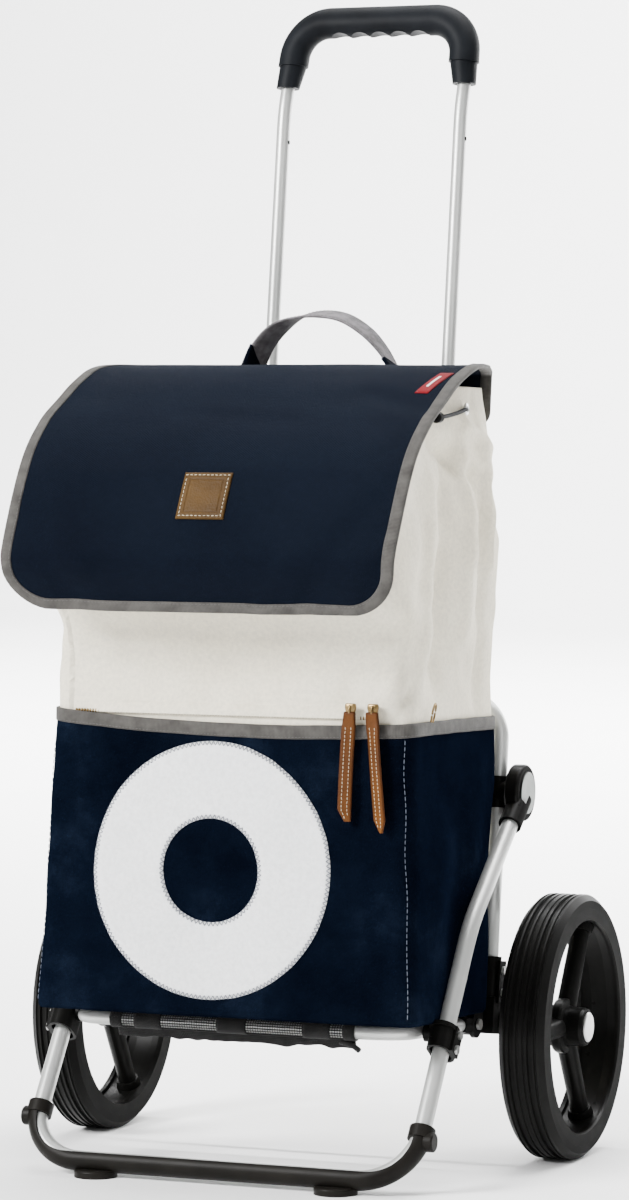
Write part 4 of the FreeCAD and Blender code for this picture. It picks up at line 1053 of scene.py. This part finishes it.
# section of the strap, as shares of its half width and its thickness
STRAP_SECTION = [(-1, 0), (-0.93, 0.9), (-0.5, 1), (0, 0.96), (0.5, 1), (0.93, 0.9),
                 (1, 0), (0.93, -0.9), (0.5, -1), (0, -0.96), (-0.5, -1), (-0.93, -0.9)]


def strap_frame(t):
    """Point, direction across and outward face of the strap at t along its line."""
    x, z, twist = catmull(STRAP_LINE, t)
    (x0, z0, _), (x1, z1, _) = catmull(STRAP_LINE, max(t - 0.05, 0)), catmull(STRAP_LINE, min(t + 0.05, STRAP_END))
    along = Vector((x1 - x0, 0, z1 - z0)).normalized()
    up = Vector((-along.z, 0, along.x))
    across = -Y * cos(radians(twist)) + up * sin(radians(twist))
    face = across.cross(along).normalized()
    return at(x, STRAP_Y, z), across, face if face.dot(up) >= 0 else -face


def strap_sweep(name, start, end, count, wide, thick, look, replaces=(), slot=None, tips=(1.0, 1.0)):
    """Length of the strap; tips are its width at its start and end, as shares, kept to its upper edge."""
    loops = []
    for t, share in zip(spread(start, end, count), spread(*tips, count)):
        p, across, face = strap_frame(t)
        loops.append([p + across * (u * wide + (wide - u * wide) * (1 - share)) + face * (v * thick)
                      for u, v in STRAP_SECTION])
    places = [(run, u * wide) for run in runs([loop[0] for loop in loops]) for u, _ in STRAP_SECTION]
    strap_blend(piece(name, *tube_mesh(loops), look, None, replaces, places, slot))


def strap_blend(made):
    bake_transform(made)


def build_strap():
    strap_sweep("strap_webbing", 0, STRAP_END, 90, STRAP_HALF, STRAP_THICK, "strap_webbing", ["carry_strap"],
                "grey_webbing")
    frames = [strap_frame(t) for t in spread(0.35, STRAP_END - 0.35, 80)]
    for number, inset in ((1, 0.002 - STRAP_HALF), (3, STRAP_HALF - 0.002)):
        path = [p + across * inset + face * STRAP_THICK for p, across, face in frames]
        strap_blend(stitches("strap_stitches_%d" % number, path, [face for _, _, face in frames], 0.0028, 0.0012,
                             0.00024, "grey_thread", None))
    root = (STRAP_HALF + 0.0006, 0.0021, "navy_canvas")
    strap_sweep("strap_root_left", 0, 0.85, 14, *root, tips=(1.0, 0.06))
    strap_sweep("strap_root_right", 7.45, STRAP_END, 12, *root, tips=(0.1, 1.0))
    for name, side in SIDES:
        build_tab(name, side * 0.0615, side * 0.0815)


def build_tab(name, x0, x1):
    """Navy patch that holds an end of the strap on the top."""
    y0, y1, low, steps = STRAP_Y - 0.0123, STRAP_Y + 0.0123, 0.7475, 14

    def point(y, x):
        edge = min(abs(x - x0), abs(x1 - x), y - y0, y1 - y)
        rise = 0.0007 + 0.0011 * min(edge / 0.0015, 1.0) + 0.0002 * waver(x * 300, y * 300)
        return at(x, y, low + rise), at(x, y, low)

    sheet("strap_patch_" + name, spread(y0, y1, steps), spread(x0, x1, steps), point, "navy_canvas", "frame",
          ["strap_tabs"], "xy")


# ---- drawstring and its lock
CORD_ROUTE = [at(0.1654, -0.078, 0.707), at(0.1724, -0.128, 0.701), at(0.1796, -0.184, 0.699)]
CORD_R = 0.002


def build_drawstring():
    curve = put(bpy.data.curves.new("drawstring_cord", "CURVE"), dimensions="3D", bevel_depth=CORD_R,
                bevel_resolution=4, resolution_u=16, use_fill_caps=True)
    spline = curve.splines.new("NURBS")
    spline.points.add(len(CORD_ROUTE) - 1)
    for point, place in zip(spline.points, CORD_ROUTE):
        point.co = (*place, 1.0)
    put(spline, order_u=3, use_endpoint_u=True)
    curve.materials.append(MATERIAL["dark_cord"])
    cord = linked("drawstring_cord", curve)
    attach(cord, "frame")
    lock = build_cord_lock()
    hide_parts("drawstring")
    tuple(CORD_ROUTE[0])
    lathe_x("eyelet", at(0.1652, -0.078, 0.707), [(0, 0.0024), (0.0016, 0.0027), (0.0021, 0.0040), (0.0013, 0.0056),
                                                  (0, 0.0060), (-0.0010, 0.0040)], "steel")


def build_cord_lock():
    """Barrel lock with waisted, ribbed sides on the end of the cord."""
    way = (CORD_ROUTE[2] - CORD_ROUTE[1]).normalized()
    side = way.cross(Z).normalized()
    profile = [(0, 0.0026), (0.0006, 0.0044), (0.0025, 0.0051), (0.0045, 0.0047), (0.006, 0.0050), (0.0075, 0.0046),
               (0.009, 0.0050), (0.0105, 0.0046), (0.012, 0.0050), (0.0145, 0.0051), (0.0155, 0.0045), (0.016, 0.003)]
    loops = [round_loop(CORD_ROUTE[2] + way * along, side, side.cross(way), r, 20) for along, r in profile]
    return piece("cord_lock", *tube_mesh(loops), "black_plastic", "frame", ["drawstring"])


# ---- loops behind the bag
def build_hangers():
    """Webbing loops from the bag's back round the hanging bar, sewn down on the bag."""
    _, bar_y, bar_z = middle_of(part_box("hanging_bar"))
    radius, thick = 0.0058, 0.0007
    back = on_bag(BACK_MIDDLE, 4.4).y + 0.0012
    line = [(back, bar_z - 0.026), (back, bar_z - 0.014), (back + 0.001, bar_z - 0.006),
            (back + 0.004, bar_z - 0.0025)]
    line += [(bar_y + radius * cos(a), bar_z + radius * sin(a)) for a in spread(radians(-120), radians(120), 13)]
    line += [(back + 0.004, bar_z - 0.0005), (back + 0.0018, bar_z + 0.001), (back + 0.0016, bar_z - 0.012)]
    marks = []
    for (y0, z0), (y, z), (y1, z1), run in zip(line[:1] + line, line, line[1:] + line[-1:], runs(line)):
        marks.append((Vector((0, y, z)), Vector((0, z1 - z0, y0 - y1)).normalized() * thick, run))

    def point(mark, x):
        p, out, run = mark
        return p + out + X * x, p - out + X * x, (run, x)

    for name, side in SIDES:
        sheet("hanger_loop_" + name, marks, spread(side * 0.040, side * 0.062, 7), point, "grey_webbing", "frame",
              ["bag_hangers"])


# ---- net under the bag
HEM_BAR = at(0, -0.235, 0.141)
HEM_HALF = 0.122
HEM_R = 0.0073
# the hem's black bands, as parts of the row from left to right
BANDS = [(-1.0, -0.905), (-0.80, -0.58), (-0.12, 0.12), (0.58, 0.80), (0.905, 1.0)]
NET_HINGE = at(0, -0.052, 0.129)
NET_LENGTH = (HEM_BAR - NET_HINGE).length
NET_AHEAD = (HEM_BAR - NET_HINGE).normalized()
NET_UP = Vector((0, NET_AHEAD.z, -NET_AHEAD.y))


def round_bar(degrees):
    """Direction away from the bar; the hem is open between 325 and 35 degrees, behind it."""
    return Vector((0, cos(radians(degrees)), sin(radians(degrees))))


def hem_tube(name, x0, x1):
    """Sleeve round the front bar, open at its back, from x0 to x1."""
    thick = 0.0009

    def point(x, angle):
        r = HEM_R + 0.0002 * waver(x * 300, angle * 2, 1.0)
        place, way = HEM_BAR + X * x, Vector((0, cos(angle), sin(angle)))
        return place + way * (r + thick), place + way * r, (angle * HEM_R, x)

    return sheet(name, spread(x0, x1, max(int((x1 - x0) / 0.003), 4) + 1), spread(radians(35), radians(325), 26),
                 point, "black_mesh", "platform", ["net_hem"])


def build_hem():
    """Bands of the hem, and the open net between them: threads round the bar and along it."""
    pieces = [hem_tube("hem_band_%d" % (i + 1), a * HEM_HALF, b * HEM_HALF) for i, (a, b) in enumerate(BANDS)]
    verts, faces, radius = [], [], 0.00032
    turns = [round_bar(degrees) for degrees in spread(35, 325, 22)]
    for (_, a), (b, _) in zip(BANDS, BANDS[1:]):
        for x in spread(a * HEM_HALF, b * HEM_HALF, int((b - a) * HEM_HALF / 0.0024) + 1):
            add_rod(verts, faces, [round_loop(HEM_BAR + X * x + way * HEM_R, X, way, radius, 4) for way in turns],
                    False)
        for way in [round_bar(degrees) for degrees in spread(40, 320, 16)]:
            add_rod(verts, faces, [round_loop(HEM_BAR + X * (end * HEM_HALF) + way * (HEM_R + 0.0003),
                                              X.cross(way) * 1.6, way, radius, 4) for end in (a, b)], False)
    return pieces + [piece("hem_threads", verts, faces, "black_mesh", "platform", cloth="xz")]


def under_net(x, along, height):
    return NET_HINGE + NET_AHEAD * along + NET_UP * height + X * x


def build_net():
    half, near = 0.126, 0.030
    flat = NET_LENGTH - near - 0.007

    def point(share, x):
        along = near + flat * share
        sag = 0.004 * sin(pi * share) * (1 - (x / half) ** 2)
        place = under_net(x, along, -0.0052 - sag + 0.0006 * waver(x * 30, along * 30))
        return place, place - NET_UP * 0.0010, (x, along)

    net = sheet("net_cloth", spread(0, 1, 40), spread(-half, half, 60), point, "black_mesh", "platform",
                ["net_sling"])
    hem = build_hem() + [build_net_fall()]


def build_net_fall():
    """Loose selvedge of the net that hangs below the front bar, with the drawn end of its tape."""
    def point(share, x):
        drop = 0.0095 + 0.0035 * waver(x * 32, 2.0) + 0.0015 * waver(x * 90, 7.0)
        ripple = 0.0022 * share * waver(x * 60, 0.5, share)
        place = HEM_BAR + Vector((x, 0.003 + ripple + 0.004 * share, -HEM_R + 0.0004 - drop * share))
        return place, place + Y * 0.0011, (x, share * drop)

    fall = sheet("net_fall", spread(0, 1, 8), spread(-0.119, 0.119, 90), point, "black_mesh", "platform")
    tail = [(0.104, 0.004, -0.0100), (0.112, 0.003, -0.0115), (0.119, 0.001, -0.0135), (0.1245, -0.001, -0.0165)]
    wire("net_tape_end", [HEM_BAR + Vector(p) for p in tail], 0.0026, "black_mesh", "platform")
    return fall


def build_rear_webbing():
    half = 0.150

    def point(along, x):
        place = under_net(x, along, -0.0044 - 0.0014 * (1 - (x / half) ** 2))
        return place, place - NET_UP * 0.0016, (x, along)

    sheet("rear_webbing", spread(0.0290, 0.0410, 8), spread(-half, half, 50), point, "black_mesh", "platform",
          ["net_rear_webbing"])


# ---- handle, whose tubes lean back before they enter the grip
HANDLE_LOW, HANDLE_TOP = Vector((0.093, 0.1623, 0.6880)), Vector((0.093, 0.2073, 1.0513))
HANDLE_R = 0.0066
HANDLE_HOLE = 0.778                # place of the pin hole, as a share of the tube
COLLAR_Z = 1.0245                  # bottom of the grip's collars
COLLAR_SHIFT = 0.006               # how far back the bent tube is there
BEND_RUN = 0.042
GRIP_SLOPE = 0.172
GRIP_PINCH = 0.035                 # share by which the grip's arms stand closer than its collars


def handle_shift(z):
    if z > COLLAR_Z:
        return COLLAR_SHIFT + GRIP_SLOPE * (z - COLLAR_Z)
    return COLLAR_SHIFT * max(0.0, 1 - (COLLAR_Z - z) / BEND_RUN) ** 2


def build_handle():
    hole = HANDLE_LOW.lerp(HANDLE_TOP, HANDLE_HOLE)
    for name, side in SIDES:
        path = [Vector((side * p.x, p.y + handle_shift(p.z), p.z))
                for p in (HANDLE_LOW.lerp(HANDLE_TOP, f) for f in spread(0, 1, 90))]
        wire("handle_tube_" + name, path, HANDLE_R, "silver_tube", "handle", ["handle_tubes"], sides=28)
        lathe_x("handle_hole_" + name, Vector((side * hole.x + HANDLE_R, hole.y, hole.z)),
                [(0.0002, 0.0004), (0.0002, 0.0021), (-0.001, 0.0021), (-0.001, 0.0004)], "black_plastic", "handle")
    source = NODES["grip"]
    mesh = source.data.copy()
    mesh.transform(source.matrix_world)
    for vert in mesh.vertices:
        p = vert.co
        pinch = GRIP_PINCH * clamp((p.z - COLLAR_Z) / 0.024)
        vert.co = (p.x * (1 - pinch), p.y + handle_shift(max(p.z, COLLAR_Z)), p.z)
    grip = linked("grip_bent", mesh)
    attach(grip, "handle")
    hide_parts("grip")


# ---- camera, light and floor
PHOTO_HEIGHT = 1200                # pixels
FOCAL_PX = 4514.23
SENSOR = 36.0
CAMERA_ROLL = radians(0.274)


def build_camera():
    data = put(bpy.data.cameras.new("camera"), sensor_fit="VERTICAL", sensor_height=SENSOR,
               lens=SENSOR * FOCAL_PX / PHOTO_HEIGHT, shift_x=-0.01481, shift_y=-0.02283, clip_end=60.0)
    place = at(1.63582, -4.02482, 0.68199)
    look = (at(0, 0, 0.55) - place).to_track_quat("-Z", "Y")
    bpy.context.scene.camera = put(linked("camera", data), rotation_mode="QUATERNION", location=place,
                                   rotation_quaternion=look @ Quaternion(Z, CAMERA_ROLL))


def build_stage():
    """Pale floor that curves up behind the object into a backdrop."""
    radius, near, far, half, height = 3.5, -16.0, 11.0, 17.0, 9.0
    line = [(near, 0.0), (far, 0.0)]
    line += [(far + radius * sin(a), radius * (1 - cos(a))) for a in spread(0, pi / 2, 17)[1:]]
    line.append((far + radius, height))
    verts = [Vector((x, y, z)) for y, z in line for x in (-half, half)]
    s = Shader("studio_floor", Roughness=0.8)
    s.feed(s.out.inputs["Base Color"], s.ramp(s.noise(2.0, 3.0), (0.3, 0.88), (0.7, 0.90)))
    MATERIAL["studio_floor"] = s.mat
    piece("studio_floor", verts, grid_faces(len(line), 2), "studio_floor", None)


# name, place, target, size and watts
LIGHTS = [
    ("key", (-2.2, -3.2, 2.6), (0, 0, 0.6), (1.6, 1.6), 560),
    ("fill", (3.0, -2.6, 1.5), (0, 0, 0.5), (1.6, 2.4), 30),
    ("top", (0.3, 0.4, 3.4), (0, 0, 0.6), (2.0, 2.0), 150),
    ("back", (1.4, 2.6, 1.8), (0, 0, 0.6), (1.2, 2.0), 60),
    ("backdrop", (0, 4.0, 7.0), (0, 13.0, 0.5), (9.0, 3.0), 8500),
]


def build_light():
    for name, place, target, size, power in LIGHTS:
        data = put(bpy.data.lights.new(name, "AREA"), shape="RECTANGLE", size=size[0], size_y=size[1], energy=power)
        aim = (Vector(target) - Vector(place)).to_track_quat("-Z", "Y")
        put(linked(name, data), location=place, rotation_euler=aim.to_euler())
    world = bpy.data.worlds.new("studio")
    world.use_nodes = True
    sky = world.node_tree.nodes["Background"].inputs
    sky["Color"].default_value = (1.0, 1.0, 1.0, 1.0)
    sky["Strength"].default_value = 0.36
    bpy.context.scene.world = world


for build in (build_handle, build_bag, build_pocket, build_pocket_tape, build_corner_stitches, build_bottom,
              build_ring, build_zip):
    build()
build_slider("zip_slider_inner")
build_slider("zip_slider_outer")
build_pull("inner", 0.0968, 0.0064, -0.040, 0.10, (1.05, 0.0))
build_pull("outer", 0.1060, 0.0068, 0.095, -0.45, (0.95, 0.65))
for build in (build_wire_loop, build_flap, build_patch, build_tag, build_strap, build_drawstring, build_hangers,
              build_net, build_rear_webbing, build_camera, build_stage, build_light):
    build()
